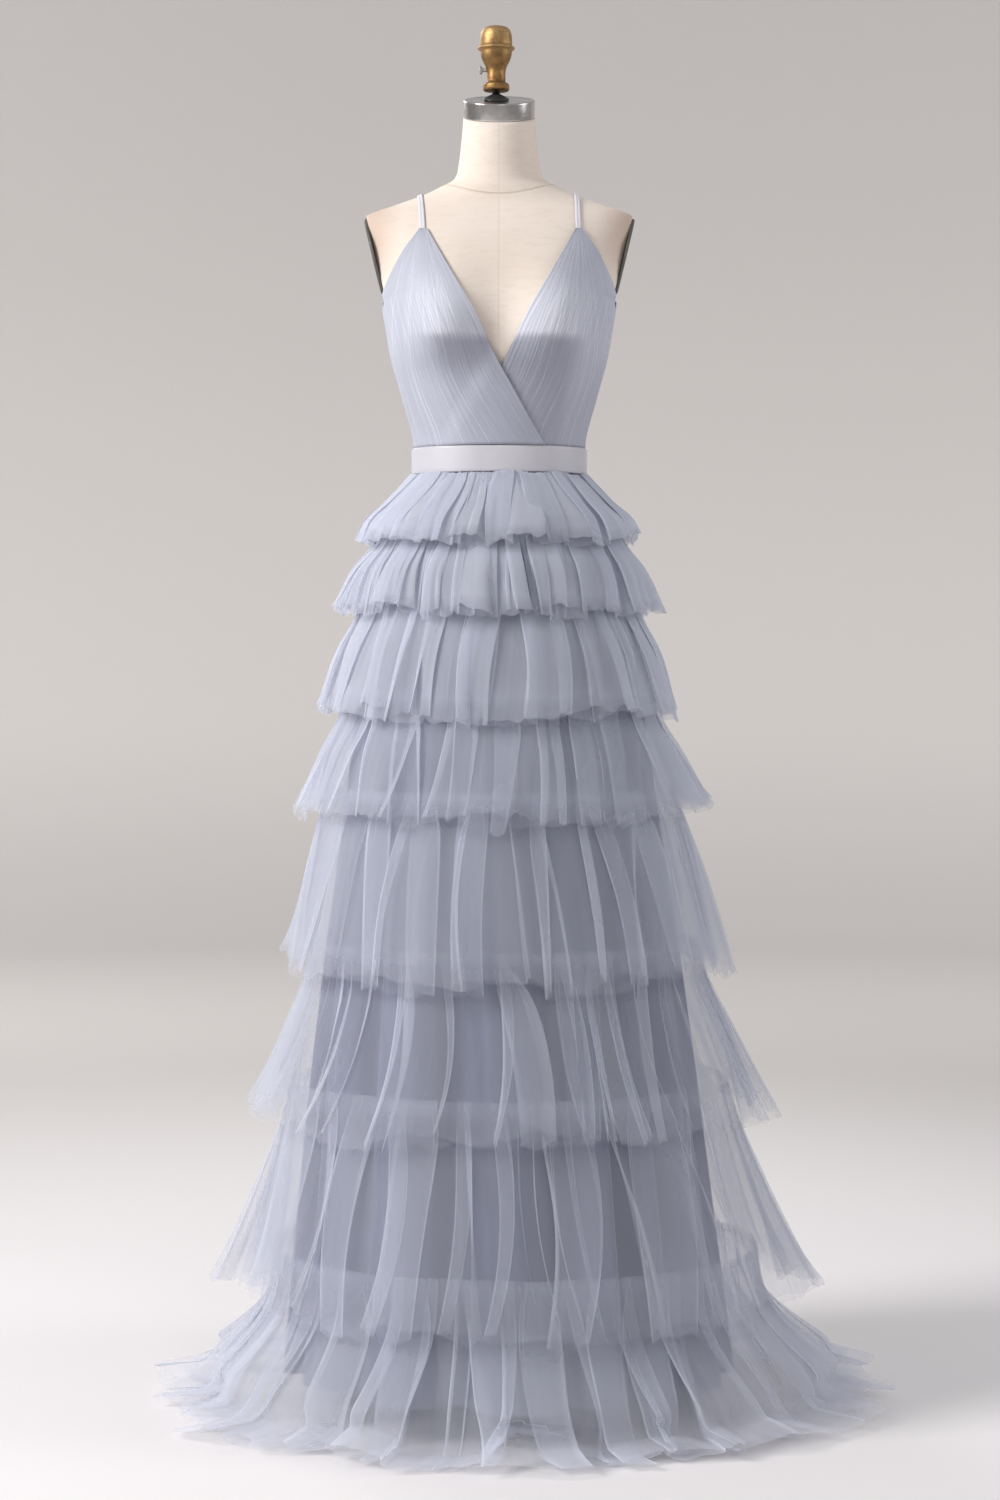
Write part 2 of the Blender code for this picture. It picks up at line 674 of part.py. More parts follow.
def zip_parts(tape, metal):
    """The closed coil between the two backs, the slider at its top end, and the pull
    tab that swings on the slider's bar."""
    heights = np.linspace(WAIST_BOTTOM, BACK_DIP - 0.0005, 9)
    surface = form_point(math.pi / 2, heights)
    low = np.stack([surface, surface], axis=1)
    low[:, 0, 0], low[:, 1, 0] = -ZIP_HALF, ZIP_HALF
    waist = heights <= WAIST_TOP
    low[..., 1] += np.where(waist, 0.0020, 0.0016)[:, None]
    high = low + np.array([0, 0.0014, 0])
    wall("zip_coil", low, high, tape)

    top = BACK_DIP - 0.0085
    y = float(form_point(math.pi / 2, top)[1]) + 0.0016 + 0.0014 + 0.0022
    build = bmesh.new()
    for size, place in (
        ((0.0050, 0.0018, 0.0080), (0, 0, 0)),
        ((0.0008, 0.0040, 0.0030), (-0.0021, 0.0026, 0.0015)),
        ((0.0008, 0.0040, 0.0030), (0.0021, 0.0026, 0.0015)),
    ):
        made = bmesh.ops.create_cube(build, size=1.0)["verts"]
        bmesh.ops.scale(build, vec=size, verts=made)
        bmesh.ops.translate(build, vec=Vector(place) + Vector((0, y, top)), verts=made)
    slider = object_of("zip_slider_parts", build, metal)
    slider.hide_render = True
    slider.display_type = "WIRE"
    bar_y, bar_z = y + 0.0034, top + 0.0018
    bar = disc(
        "zip_slider", BAR_RADIUS, 0.0046, (-0.0023, bar_y, bar_z), metal, 10,
        Matrix.Rotation(math.pi / 2, 4, "Y"),
    )
    join = bar.modifiers.new("Body", "BOOLEAN")
    join.operation = "UNION"
    join.object = slider
    join.solver = "EXACT"
    join.use_self = True
    zip_pull(bar_y, bar_z, metal)


def zip_pull(bar_y, bar_z, metal):
    """A tear-drop tab with an eye round the slider's bar, hanging straight down."""
    sides = 12
    angles = np.linspace(0, 2 * math.pi, sides, endpoint=False)
    build = bmesh.new()
    loops = []
    for x in (-PULL_WALL / 2, PULL_WALL / 2):
        hole = [
            build.verts.new((x, bar_y + EYE_RADIUS * math.sin(a), bar_z + EYE_RADIUS * math.cos(a)))
            for a in angles
        ]
        rim = [
            build.verts.new((x, bar_y + EYE_OUTER * math.sin(a), bar_z + EYE_OUTER * math.cos(a)))
            for a in angles
        ]
        loops.append((hole, rim))
    (hole_a, rim_a), (hole_b, rim_b) = loops
    for c in range(sides):
        d = (c + 1) % sides
        build.faces.new((hole_a[c], hole_a[d], rim_a[d], rim_a[c]))
        build.faces.new((hole_b[c], hole_b[d], rim_b[d], rim_b[c]))
        build.faces.new((hole_a[c], hole_a[d], hole_b[d], hole_b[c]))
        build.faces.new((rim_a[c], rim_a[d], rim_b[d], rim_b[c]))
    bmesh.ops.recalc_face_normals(build, faces=build.faces)
    eye = object_of("zip_pull_eye", build, metal)
    eye.hide_render = True
    eye.display_type = "WIRE"
    outline_points = [(0.0006, -0.0018), (0.0008, -0.0060), (0.0020, -0.0150), (0.0024, -0.0185),
                      (0.0016, -0.0212), (0.0, -PULL_LENGTH)]
    mirrored = [(-x, z) for x, z in reversed(outline_points[:-1])]
    tab = bmesh.new()
    faces = []
    for y in (-PULL_WALL / 2, PULL_WALL / 2):
        loop = [
            tab.verts.new((x, bar_y + 0.0012 + y, bar_z + z))
            for x, z in outline_points + mirrored
        ]
        faces.append(loop)
        tab.faces.new(loop)
    for c in range(len(faces[0])):
        d = (c + 1) % len(faces[0])
        tab.faces.new((faces[0][c], faces[0][d], faces[1][d], faces[1][c]))
    pull = object_of("zip_pull", tab, metal)
    set_origin(pull, (0, bar_y, bar_z))
    join = pull.modifiers.new("Eye", "BOOLEAN")
    join.operation = "UNION"
    join.object = eye
    join.solver = "EXACT"


# ---------------------------------------------------------------- the skirt


def underskirt(satin):
    """The plain satin skirt under the tiers: a front and a back, sewn at the sides."""
    z = column(UNDERSKIRT_COLUMNS, UNDERSKIRT, "z")[:, None]
    gap = SEAM / 0.11 / 2
    for name, start in (("underskirt_front", -math.pi), ("underskirt_back", 0.0)):
        angle = np.linspace(start + gap, start + math.pi - gap, UNDERSKIRT_POINTS + 1)[None, :]
        size = [
            column(UNDERSKIRT_COLUMNS, UNDERSKIRT, part)[:, None]
            for part in ("half_width", "front", "back")
        ]
        flat = outline(angle, *size, side_drift(z) * 0.5)
        inner = np.concatenate([flat, (z + 0 * angle)[..., None]], axis=2)
        outer = inner + normals(inner, ring=False) * SATIN
        outer[..., 2] = inner[..., 2]
        wall(name, inner, outer, satin)


def fold_columns(folds, key):
    """Angles round a tier and how far each column stands out, 0 in a trough and up to
    1 on a fold. Each fold has four columns, and folds vary in width and depth."""
    number = np.arange(folds)
    width = 1 + 0.26 * np.sin(2.4 * number + key) + 0.12 * np.sin(5.1 * number + 2 * key)
    start = np.concatenate([[0], np.cumsum(width)])[:-1] / width.sum()
    width = width / width.sum()
    depth = 0.78 + 0.22 * np.sin(3.7 * number + 1.3 * key)
    quarters = np.array([0.0, 0.27, 0.52, 0.77])
    height = np.array([0.0, 0.62, 1.0, 0.55])
    angle = (start[:, None] + width[:, None] * quarters[None, :]).ravel()
    return 2 * math.pi * angle + 0.2 * key, (depth[:, None] * height[None, :]).ravel()


def tier_size(index, part):
    return TIERS[index][TIER_COLUMNS.index(part)]


def trough_outline(index):
    """Half width, front and back of a tier's inner skin at its hem, in the troughs."""
    inset = tier_size(index, "fold_depth") + TULLE
    return np.array([tier_size(index, p) - inset for p in ("half_width", "front", "back")])


def tier_starts():
    """Each tier's gathered edge and its shoulder, as heights and inner outlines. A
    tier's edge lies just inside the troughs of the tier above, at their seam, and its
    shoulder at that tier's hem, so that its folds there clear the troughs."""
    edge = (WAIST_BOTTOM - SEAM, np.array(WAIST_SIZE) + TIER_CLEAR)
    shoulder = (SHOULDER_Z, np.array(SHOULDER_SIZE))
    starts = [(edge, shoulder)]
    for index in range(len(TIERS)):
        hem, troughs = tier_size(index, "hem"), trough_outline(index)
        seam = hem + tier_size(index, "overhang")
        lowest = hem - HEM_RISE - 0.6 * HEM_SAG
        share = (shoulder[0] - seam) / (shoulder[0] - lowest)
        at_seam = shoulder[1] + (troughs - shoulder[1]) * share
        edge = (seam, at_seam - TULLE - SEAM)
        shoulder = (hem, troughs - TULLE - SHOULDER_FOLD - NESTING)
        starts.append((edge, shoulder))
    return starts


def tier_wall(name, angle, stand_out, rows, tulle):
    """A tier's wall from its rows: height, inner outline in the troughs, fold depth,
    and how far the outer skin lies above the inner one."""
    inner, outer = [], []
    for z, size, depth, sag, lift in rows:
        drift = side_drift(z)
        flat = outline(angle, *(size[:, None] + depth * stand_out), drift)
        heights = z + sag * (0.6 * np.sin(5 * angle + z * 40) + 0.4 * stand_out)
        heights = heights + (HEM_RISE * np.cos(2 * angle) if sag else 0.0)
        inner.append(np.concatenate([flat, heights[:, None]], axis=1))
        around = np.roll(flat, -1, axis=0) - np.roll(flat, 1, axis=0)
        away = np.stack([around[:, 1], -around[:, 0]], axis=1)
        away /= np.linalg.norm(away, axis=1, keepdims=True)
        moved = np.concatenate([flat + away * TULLE * (1 - lift), (heights + lift * TULLE)[:, None]], axis=1)
        outer.append(moved)
    wall(name, np.array(inner), np.array(outer), tulle, ring=True)


def tiers(tulle):
    """The eight gathered tiers, each sewn inside the one above it."""
    starts = tier_starts()
    for index, (edge, shoulder) in enumerate(starts[:-1]):
        angle, stand_out = fold_columns(tier_size(index, "folds"), index + 1.0)
        hem, depth = tier_size(index, "hem"), tier_size(index, "fold_depth")
        rows = (
            (*edge, 0.0, 0.0, 0.0),
            (*shoulder, SHOULDER_FOLD, 0.0, 0.0),
            (hem, trough_outline(index), depth, HEM_SAG, 0.0),
        )
        tier_wall(f"tier_{index + 1}", angle, stand_out, rows, tulle)

    angle, stand_out = fold_columns(FLOOR_FOLDS, 9.0)
    edge, shoulder = starts[-1]
    rows = [(*edge, 0.0, 0.0, 0.0), (*shoulder, SHOULDER_FOLD, 0.0, 0.0)]
    for z, half_width, front, back, depth in FLOOR_TIER:
        lift = 1.0 if z == 0 else 0.0
        rows.append((z, np.array([half_width, front, back]), depth, 0.0, lift))
    tier_wall("tier_8", angle, stand_out, rows, tulle)


# ---------------------------------------------------------------- all together


def main():
    clear_scene()
    linen = finish_material("linen", (0.82, 0.71, 0.61), 0.85)
    painted = finish_material("painted_plate", (0.10, 0.10, 0.08), 0.55)
    steel = finish_material("steel", (0.62, 0.60, 0.60), 0.25, 1.0)
    iron = finish_material("iron", (0.05, 0.05, 0.05), 0.45, 0.6)
    gold = finish_material("gold", (0.42, 0.27, 0.12), 0.40, 0.8)
    zinc = finish_material("zinc", (0.55, 0.56, 0.54), 0.35, 1.0)
    cloth = finish_material("bodice_tulle", (0.45, 0.46, 0.58), 0.80)
    tulle = finish_material("tulle", (0.45, 0.48, 0.60), 0.85)
    satin = finish_material("satin", (0.62, 0.61, 0.68), 0.45)
    lining = finish_material("lining", (0.24, 0.25, 0.34), 0.55)

    form_torso(linen)
    for side in (-1, 1):
        arm_plate(side, painted)
    top, tilt = neck_cap(steel)
    finial_rod(top, tilt, iron)
    finial(gold)
    thumbscrew(zinc)
    stand(steel, iron)

    bodice_front(-1, True, cloth)
    bodice_front(1, False, cloth)
    for side in (-1, 1):
        bodice_back(side, cloth)
    waistband(satin)
    bpy.context.view_layer.update()
    form = BVHTree.FromObject(
        bpy.data.objects["form_torso"], bpy.context.evaluated_depsgraph_get()
    )
    for side in (-1, 1):
        strap(form, side, satin)
    zip_parts(lining, zinc)
    underskirt(lining)
    tiers(tulle)


main()
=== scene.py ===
"""Tiered tulle ball gown on a limbless dress form: finished surfaces, cloth and light.

Metres, +Z up. The gown's front faces -Y and the wearer's left is +X. Every surface is a
grid of points worked out from two parameters; the sizes are those of the plain solids.
"""

import math

import bmesh
import bpy
import numpy as np
from mathutils import Matrix, Vector
from mathutils.bvhtree import BVHTree


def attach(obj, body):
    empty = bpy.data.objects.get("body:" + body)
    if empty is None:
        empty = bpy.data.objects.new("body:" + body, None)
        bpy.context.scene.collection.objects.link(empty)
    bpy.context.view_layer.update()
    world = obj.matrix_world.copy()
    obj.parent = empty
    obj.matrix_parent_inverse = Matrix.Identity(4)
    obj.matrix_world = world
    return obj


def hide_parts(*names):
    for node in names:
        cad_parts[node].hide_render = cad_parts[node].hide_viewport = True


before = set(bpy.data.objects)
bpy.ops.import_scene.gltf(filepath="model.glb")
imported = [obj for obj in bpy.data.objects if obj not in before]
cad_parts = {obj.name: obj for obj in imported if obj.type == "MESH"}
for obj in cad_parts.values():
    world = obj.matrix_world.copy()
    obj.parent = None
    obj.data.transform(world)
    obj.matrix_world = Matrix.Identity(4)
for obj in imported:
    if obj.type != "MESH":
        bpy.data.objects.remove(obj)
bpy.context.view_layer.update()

GOWN = "gown_and_form"

# ------------------------------------------------------------------ sizes

TURN = 2 * math.pi
WAIST_TOP, WAIST_BOTTOM = 1.2340, 1.2000
UNDERARM, CUP_TIP, BACK_DIP = 1.4300, 1.5107, 1.4050
NECK_TOP, NECK_TILT = 1.6650, math.radians(17)
NECK_MIDDLE = 0.0025  # how far the V neck stands off the middle
NECK_SEAM, NECK_SEAM_RISE = 1.5600, 3.7
SEAM_HALF = 0.0009  # half the width of the linen's neck seam
# Painted shade: the linen darkens this far out, towards the plates.
LINEN_SHADE_FROM, LINEN_SHADE_OVER = 0.118, 0.050  # the linen darkens this far out, towards the plates
WAIST_SIZE = np.array((0.1085, 0.0850, 0.0840))

# Rings of the form: height, half width, front, back, middle, tilt, roundness.
FORM = np.array(
    (
        (0.930, 0.1500, 0.0920, 0.1120, 0.000, 0.00, 2.0),
        (0.960, 0.1620, 0.1010, 0.1230, 0.000, 0.00, 2.0),
        (1.000, 0.1660, 0.1030, 0.1250, 0.000, 0.00, 2.0),
        (1.060, 0.1540, 0.0985, 0.1140, 0.000, 0.00, 2.0),
        (1.130, 0.1280, 0.0900, 0.0950, 0.000, 0.00, 2.0),
        (1.190, 0.1090, 0.0850, 0.0835, 0.000, 0.00, 2.0),
        (1.235, 0.1085, 0.0850, 0.0830, 0.000, 0.00, 2.0),
        (1.300, 0.1230, 0.0900, 0.0920, 0.000, 0.00, 2.1),
        (1.350, 0.1370, 0.0940, 0.0990, 0.000, 0.00, 2.2),
        (1.400, 0.1460, 0.0960, 0.1050, 0.000, 0.00, 2.3),
        (1.440, 0.1530, 0.0940, 0.1070, 0.001, 0.00, 2.3),
        (1.490, 0.1700, 0.0860, 0.1030, 0.003, 0.00, 2.3),
        (1.520, 0.1800, 0.0750, 0.0930, 0.005, 0.00, 2.2),
        (1.538, 0.1735, 0.0640, 0.0790, 0.007, 0.00, 2.1),
        (1.552, 0.1360, 0.0580, 0.0680, 0.009, 0.02, 2.0),
        (1.566, 0.0980, 0.0560, 0.0620, 0.010, 0.05, 2.0),
        (1.578, 0.0735, 0.0540, 0.0570, 0.009, 0.11, 2.0),
        (1.585, 0.0605, 0.0530, 0.0545, 0.009, 0.14, 2.0),
        (1.592, 0.0556, 0.0510, 0.0525, 0.008, 0.16, 2.0),
        (1.603, 0.0532, 0.0495, 0.0505, 0.007, 0.18, 2.0),
        (1.630, 0.0496, 0.0475, 0.0480, 0.003, 0.24, 2.0),
        (1.665, 0.0465, 0.0455, 0.0455, 0.000, NECK_TILT, 2.0),
    )
)
BUST_SIDE, BUST_HEIGHT, BUST_RISE = 0.0780, 1.3780, 0.0390
BUST_ACROSS, BUST_ABOVE, BUST_BELOW = 0.0540, 0.0760, 0.0380
ARMHOLE_LOW, ARMHOLE_HIGH = 1.4320, 1.5420
ARMHOLE_LOW_X, ARMHOLE_HIGH_X = 0.1480, 0.1740
# The bodice's side edge from the underarm to the strap: height, distance from the middle.
CUP_EDGE = np.array(
    (
        (1.4300, 0.1600),
        (1.4335, 0.1480),
        (1.4430, 0.1440),
        (1.4600, 0.1355),
        (1.4840, 0.1228),
        (1.5107, 0.1032),
    )
)
# Heights of the bodice's rings, closer together where it bends.
BODICE_HEIGHTS = (
    1.2343, 1.268, 1.302, 1.330, 1.351, 1.370, 1.387, 1.403, 1.415, 1.4235,
    1.4335, 1.443, 1.460, 1.484, 1.5107,
)
BODICE_CLEAR, CLOTH, PLEAT_RISE = 0.0020, 0.0012, 0.0011
FRONT_ROWS, FRONT_COLUMNS, BACK_ROWS, BACK_COLUMNS = 104, 260, 64, 110
FINE_PLEATS, BOLD_PLEATS, BACK_PLEATS = 84, 36, 20
UNDERARM_EASING, ARMHOLE_END = 0.012, 1.4335
FAN_FOOT = 1.300  # the pleats' fan leaves the side seam at this height
CUP_PAD, CUP_PAD_FOOT, CUP_PAD_X, CUP_PAD_REACH = 0.0026, 1.3640, 0.058, 0.040
# Painted shade under the bust: its top, and by side its half width there and how
# much of that it loses by the waist; and the width and height over which it fades.
UNDER_BUST_SHADE_TOP, UNDER_BUST_SHADE_X, UNDER_BUST_SHADE_TAPER = 1.3690, {-1: 0.086, 1: 0.100}, {-1: 0.040, 1: 0.020}
UNDER_BUST_SHADE_SIDE_FADE, UNDER_BUST_SHADE_TOP_FADE = 0.034, 0.11
BAND_CLEAR, BAND_WALL = 0.0028, 0.0028
# Where each strap lies off the middle: at its front end, at the shoulder and behind.
STRAP_X = {-1: (-0.0962, -0.1030, -0.0860), 1: (0.1012, 0.1000, 0.0860)}
STRAP_WIDTH, STRAP_CLEAR, STRAP_THICK = 0.0070, 0.0009, 0.0015
ZIP_HALF, SEAM = 0.0013, 0.0003
TULLE, TIER_CLEAR, NESTING, SHOULDER_FOLD = 0.0015, 0.0042, 0.0030, 0.0040
HEM_SAG, HEM_RISE = 0.004, 0.005
MOST_LEAN = 2.9  # how far gathered cloth may turn back on itself, in radians
INNER_GATHERING, INNER_OPACITY = 0.66, 1.35  # of the outer layer's
# Each tier's share of its spread that it has reached at PUFF_AT of its fall.
PUFF_AT, PUFF = 0.36, (0.60, 0.56, 0.50, 0.43, 0.38, 0.36, 0.35)
SLANT_COVER = 1.3  # how much more a thin net covers where it is met at a slant
MOST_COVER = 0.95
SCATTER = 0.72  # how far the tulle's normals lean from its folds' to its tier's
FOLD_CLOTH = (0.088, 0.088, 0.115, 0.175, 0.260, 0.290, 0.320, 0.280)  # cloth in a broad fold
SHOULDER_Z, SHOULDER_SIZE = 1.160, np.array((0.1470, 0.1200, 0.1230))

# Tiers at the hem: height, half width out to the folds, front, back, depth of the
# finished folds and overhang; then the cloth's fullness, columns, rows and opacity.
TIERS = np.array(
    (
        (1.110, 0.194, 0.166, 0.172, 0.026, 0.018, 2.00, 1500, 13, 0.60),
        (1.020, 0.215, 0.188, 0.198, 0.026, 0.025, 2.00, 1500, 12, 0.55),
        (0.888, 0.247, 0.218, 0.230, 0.034, 0.025, 2.00, 1600, 13, 0.44),
        (0.761, 0.281, 0.248, 0.264, 0.040, 0.025, 2.00, 1650, 13, 0.27),
        (0.560, 0.312, 0.278, 0.300, 0.048, 0.030, 2.05, 1700, 13, 0.24),
        (0.373, 0.357, 0.316, 0.345, 0.058, 0.038, 2.10, 1800, 13, 0.165),
        (0.144, 0.396, 0.350, 0.386, 0.068, 0.053, 2.10, 1900, 13, 0.165),
    )
)
# The lowest tier on its way out over the floor: height, half width, front, back, depth.
FLOOR_TIER = np.array(
    (
        (0.060, 0.352, 0.306, 0.352, 0.060),
        (0.002, 0.400, 0.340, 0.410, 0.045),
        (0.002, 0.456, 0.366, 0.478, 0.022),
    )
)
FLOOR_LEAN = (0.15, 1.15, 1.40)  # how far its folds lean up from level, in radians
FLOOR_CLOTH = (2.00, 1900, 18, 0.22)  # fullness, columns, rows, opacity
FINE_GATHER, MIDDLE_GATHER = 0.012, 0.036  # cloth in one of the first tier's small gathers
HEM_WAVE, HEM_WAVE_STEP, FLOOR_WAVE = 0.009, 0.0015, 0.042
# How much more or less the tulle covers from fold to fold, thread to thread and streak
# to streak; where it stands edge-on or puckers; under the tier above; and at its hem.
COVER_FOLDS, COVER_THREADS, COVER_STREAKS = 0.20, 0.10, 0.12
COVER_EDGE_ON, COVER_PUCKER, COVER_UNDER = 0.32, 0.25, 0.50
HEM_THINNING, FLOOR_HEM_THINNING, HEM_THINS_FROM = 0.45, 0.20, 0.80
# The tulle's tone: pale, with painted sheen where folds stand edge-on, and painted shade in the puckers and
# just below the tier above.
PALENESS, EDGE_ON_PAINTED_SHEEN, PUCKER_PAINTED_SHADE, UNDER_TIER_PAINTED_SHADOW = 0.91, 0.09, 0.26, 0.4
EDGE_ON_FROM, EDGE_ON_OVER = 0.84, 0.15  # the sine of a fold's lean at which it counts
FOLD_STRAY, FOLD_SLANT, FOLD_BOW = 0.22, 0.36, 0.16
SIDE_DRIFT, DRIFT_START = 0.028, 0.900

# Rings of the underskirt: height, half width, front, back.
UNDERSKIRT = np.array(
    (
        (1.1997, 0.1101, 0.0866, 0.0856),
        (1.130, 0.1370, 0.0990, 0.1020),
        (1.050, 0.1650, 0.1100, 0.1250),
        (0.960, 0.1880, 0.1300, 0.1480),
        (0.600, 0.2450, 0.2000, 0.2150),
        (0.046, 0.3050, 0.2650, 0.2850),
    )
)
FLUTES, FLUTE_DEPTH, UNDERSKIRT_DRAWN_IN = 8, 0.062, 0.030
FINIAL_X, SCREW_Z, FINIAL_BOTTOM = -0.0040, 1.7270, 1.6995
CAP_RADIUS, CAP_HEIGHT, KNURLS = 0.0463, 0.0230, 22

# ------------------------------------------------------------------ tones

LINEN_COOL, LINEN_WARM, LINEN_SLUB = (0.85, 0.745, 0.660), (0.88, 0.785, 0.705), (0.72, 0.61, 0.50)
# Painted shade towards the armholes, and the seams' own darker thread.
LINEN_PAINTED_SHADE, LINEN_SEAM = (0.60, 0.44, 0.35), (0.50, 0.40, 0.31)
GILT, GILT_BROWN, GILT_RUBBED = (0.38, 0.225, 0.085), (0.18, 0.092, 0.03), (0.72, 0.50, 0.24)
# The tulle's pale tone, and the dark one its painted shade moves towards.
TULLE_LIGHT, TULLE_DARK = (0.885, 0.91, 1.0), (0.26, 0.29, 0.43)
# The bodice tulle's darker and paler tones: streaks move between them at random, and the paler one is painted
# highlight on the pleats' crests and the upper cup.
PLEAT_HOLLOW, PLEAT_CREST = (0.49, 0.51, 0.605), (0.82, 0.84, 0.92)
# Painted shade under the bust.
UNDER_BUST_SHADE_TONE = (0.29, 0.30, 0.37)
STRAP_PALE, STRAP_DARK, STRAP_STITCH = (0.84, 0.82, 0.88), (0.76, 0.75, 0.81), (0.50, 0.50, 0.58)
# Painted light falloff: the floor darkens away from the form and the wall darkens higher up.
FLOOR_NEAR, FLOOR_FAR = (0.875, 0.85, 0.858), (0.52, 0.50, 0.487)
WALL_LOW, WALL_HIGH = (0.60, 0.575, 0.56), (0.49, 0.47, 0.46)

# ------------------------------------------------------------------ curves


def smooth(at, xs, ys):
    """A cubic between each two points of (xs, ys), xs rising, whose slope at a point is
    the weighted mean of its neighbours' slopes, and nought at a peak or trough."""
    at = np.clip(np.asarray(at, float), xs[0], xs[-1])
    gaps = np.diff(xs)
    slopes = np.diff(ys) / gaps
    before, after = slopes[:-1], slopes[1:]
    inner = (before * gaps[1:] + after * gaps[:-1]) / (gaps[1:] + gaps[:-1])
    inner = np.where(before * after <= 0, 0.0, inner)
    tangent = np.concatenate([slopes[:1], inner, slopes[-1:]])
    i = np.clip(np.searchsorted(xs, at, side="right") - 1, 0, len(xs) - 2)
    t = (at - xs[i]) / gaps[i]
    return (
        ys[i] * (2 * t**3 - 3 * t**2 + 1)
        + ys[i + 1] * (3 * t**2 - 2 * t**3)
        + gaps[i] * tangent[i] * (t**3 - 2 * t**2 + t)
        + gaps[i] * tangent[i + 1] * (t**3 - t**2)
    )


def ease(t):
    """3t^2 - 2t^3 between 0 and 1, level outside."""
    t = np.clip(t, 0.0, 1.0)
    return t * t * (3 - 2 * t)


def wander(s, seed, first, last, fall=0.5):
    """A slow uneven wave round s, 0 to 1: sines of first to last whole waves with
    seeded phases, scaled to lie between -1 and 1."""
    rng = np.random.default_rng(seed)
    count = np.arange(first, last + 1)
    phase = rng.uniform(0, TURN, len(count))
    weight = rng.uniform(0.5, 1.0, len(count)) * (first / count) ** fall
    wave = np.sin(TURN * np.multiply.outer(s, count) + phase) @ weight
    return wave / np.abs(wave).max()


def pass_band(rows, lowest, leave):
    """Rows of a periodic wave with the slow parts, under lowest waves, cut to leave."""
    spectrum = np.fft.rfft(rows, axis=-1)
    count = np.arange(spectrum.shape[-1])
    gain = leave + (1 - leave) * ease((count - 0.6 * lowest) / (0.8 * lowest))
    return np.fft.irfft(spectrum * gain, n=rows.shape[-1], axis=-1)


def form_column(z, index):
    """A column of the form's table, smoothed between its rings."""
    return smooth(z, FORM[:, 0], FORM[:, index])


def armhole_x(z):
    """How far out the flat armhole lies at a height."""
    share = (z - ARMHOLE_LOW) / (ARMHOLE_HIGH - ARMHOLE_LOW)
    return ARMHOLE_LOW_X + share * (ARMHOLE_HIGH_X - ARMHOLE_LOW_X)


def form_point(angle, z, easing=0.0):
    """The form: two half superellipses a ring, two soft mounds in front, and sides cut
    flat at the armholes, the cut coming in over a height of easing. The angle runs from
    the wearer's left by the back."""
    angle, z = np.broadcast_arrays(np.asarray(angle, float), np.asarray(z, float))
    across, along = np.cos(angle), np.sin(angle)
    power = 2 / form_column(z, 6)
    depth = np.where(along < 0, form_column(z, 2), form_column(z, 3))
    x = form_column(z, 1) * np.sign(across) * np.abs(across) ** power
    y = depth * np.sign(along) * np.abs(along) ** power
    reach = np.where(z > BUST_HEIGHT, BUST_ABOVE, BUST_BELOW)
    for side in (-1, 1):
        away = ((x - side * BUST_SIDE) / BUST_ACROSS) ** 2 + ((z - BUST_HEIGHT) / reach) ** 2
        y = y - BUST_RISE * np.exp(-away) * ease(-along * 1.6)
    flat = np.where(z < ARMHOLE_HIGH, armhole_x(z), 1.0)
    cut = np.clip((z - ARMHOLE_LOW + 0.006 + easing) / max(easing, 1e-6), 0, 1)
    x = x + (np.clip(x, -flat, flat) - x) * cut
    rise = y * np.tan(form_column(z, 5))
    return np.stack([x, y + form_column(z, 4), z + rise], axis=-1)


def form_normal(angle, z, easing=0.0):
    """Unit normals of the form, from the slopes of its surface both ways."""
    small = 0.002
    across = form_point(angle + small, z, easing) - form_point(angle - small, z, easing)
    down = form_point(angle, z + small, easing) - form_point(angle, z - small, easing)
    normal = np.cross(across, down)
    return normal / np.maximum(np.linalg.norm(normal, axis=-1, keepdims=True), 1e-12)


def angle_at(x, z, front=True):
    """The ring angle at which the form has that x at height z."""
    share = np.clip(np.abs(x) / form_column(z, 1), 0, 1) ** (form_column(z, 6) / 2)
    turn = np.arccos(share * np.sign(x))
    return -turn if front else turn


def outward(grid, around=False):
    """Unit normals of a grid of points, facing away from the z axis."""
    if around:
        along = np.roll(grid, -1, axis=1) - np.roll(grid, 1, axis=1)
    else:
        along = np.gradient(grid, axis=1)
    normal = np.cross(along, np.gradient(grid, axis=0))
    normal /= np.maximum(np.linalg.norm(normal, axis=2, keepdims=True), 1e-12)
    away = (normal[..., :2] * grid[..., :2]).sum(axis=2)
    return normal * np.where(away.mean() < 0, -1.0, 1.0)


def side_drift(z):
    """How far the skirt leans to the wearer's left at a height: more towards the floor."""
    return SIDE_DRIFT * np.clip(1 - np.asarray(z) / DRIFT_START, 0, 1) ** 1.3


def plan_outline(angle, size, drift=0.0):
    """Plan outline: two half ellipses, of a half width, front and back, moved sideways."""
    depth = np.where(np.sin(angle) < 0, size[..., 1], size[..., 2])
    return np.stack([size[..., 0] * np.cos(angle) + drift, depth * np.sin(angle)], axis=-1)


# ------------------------------------------------------------------ meshes


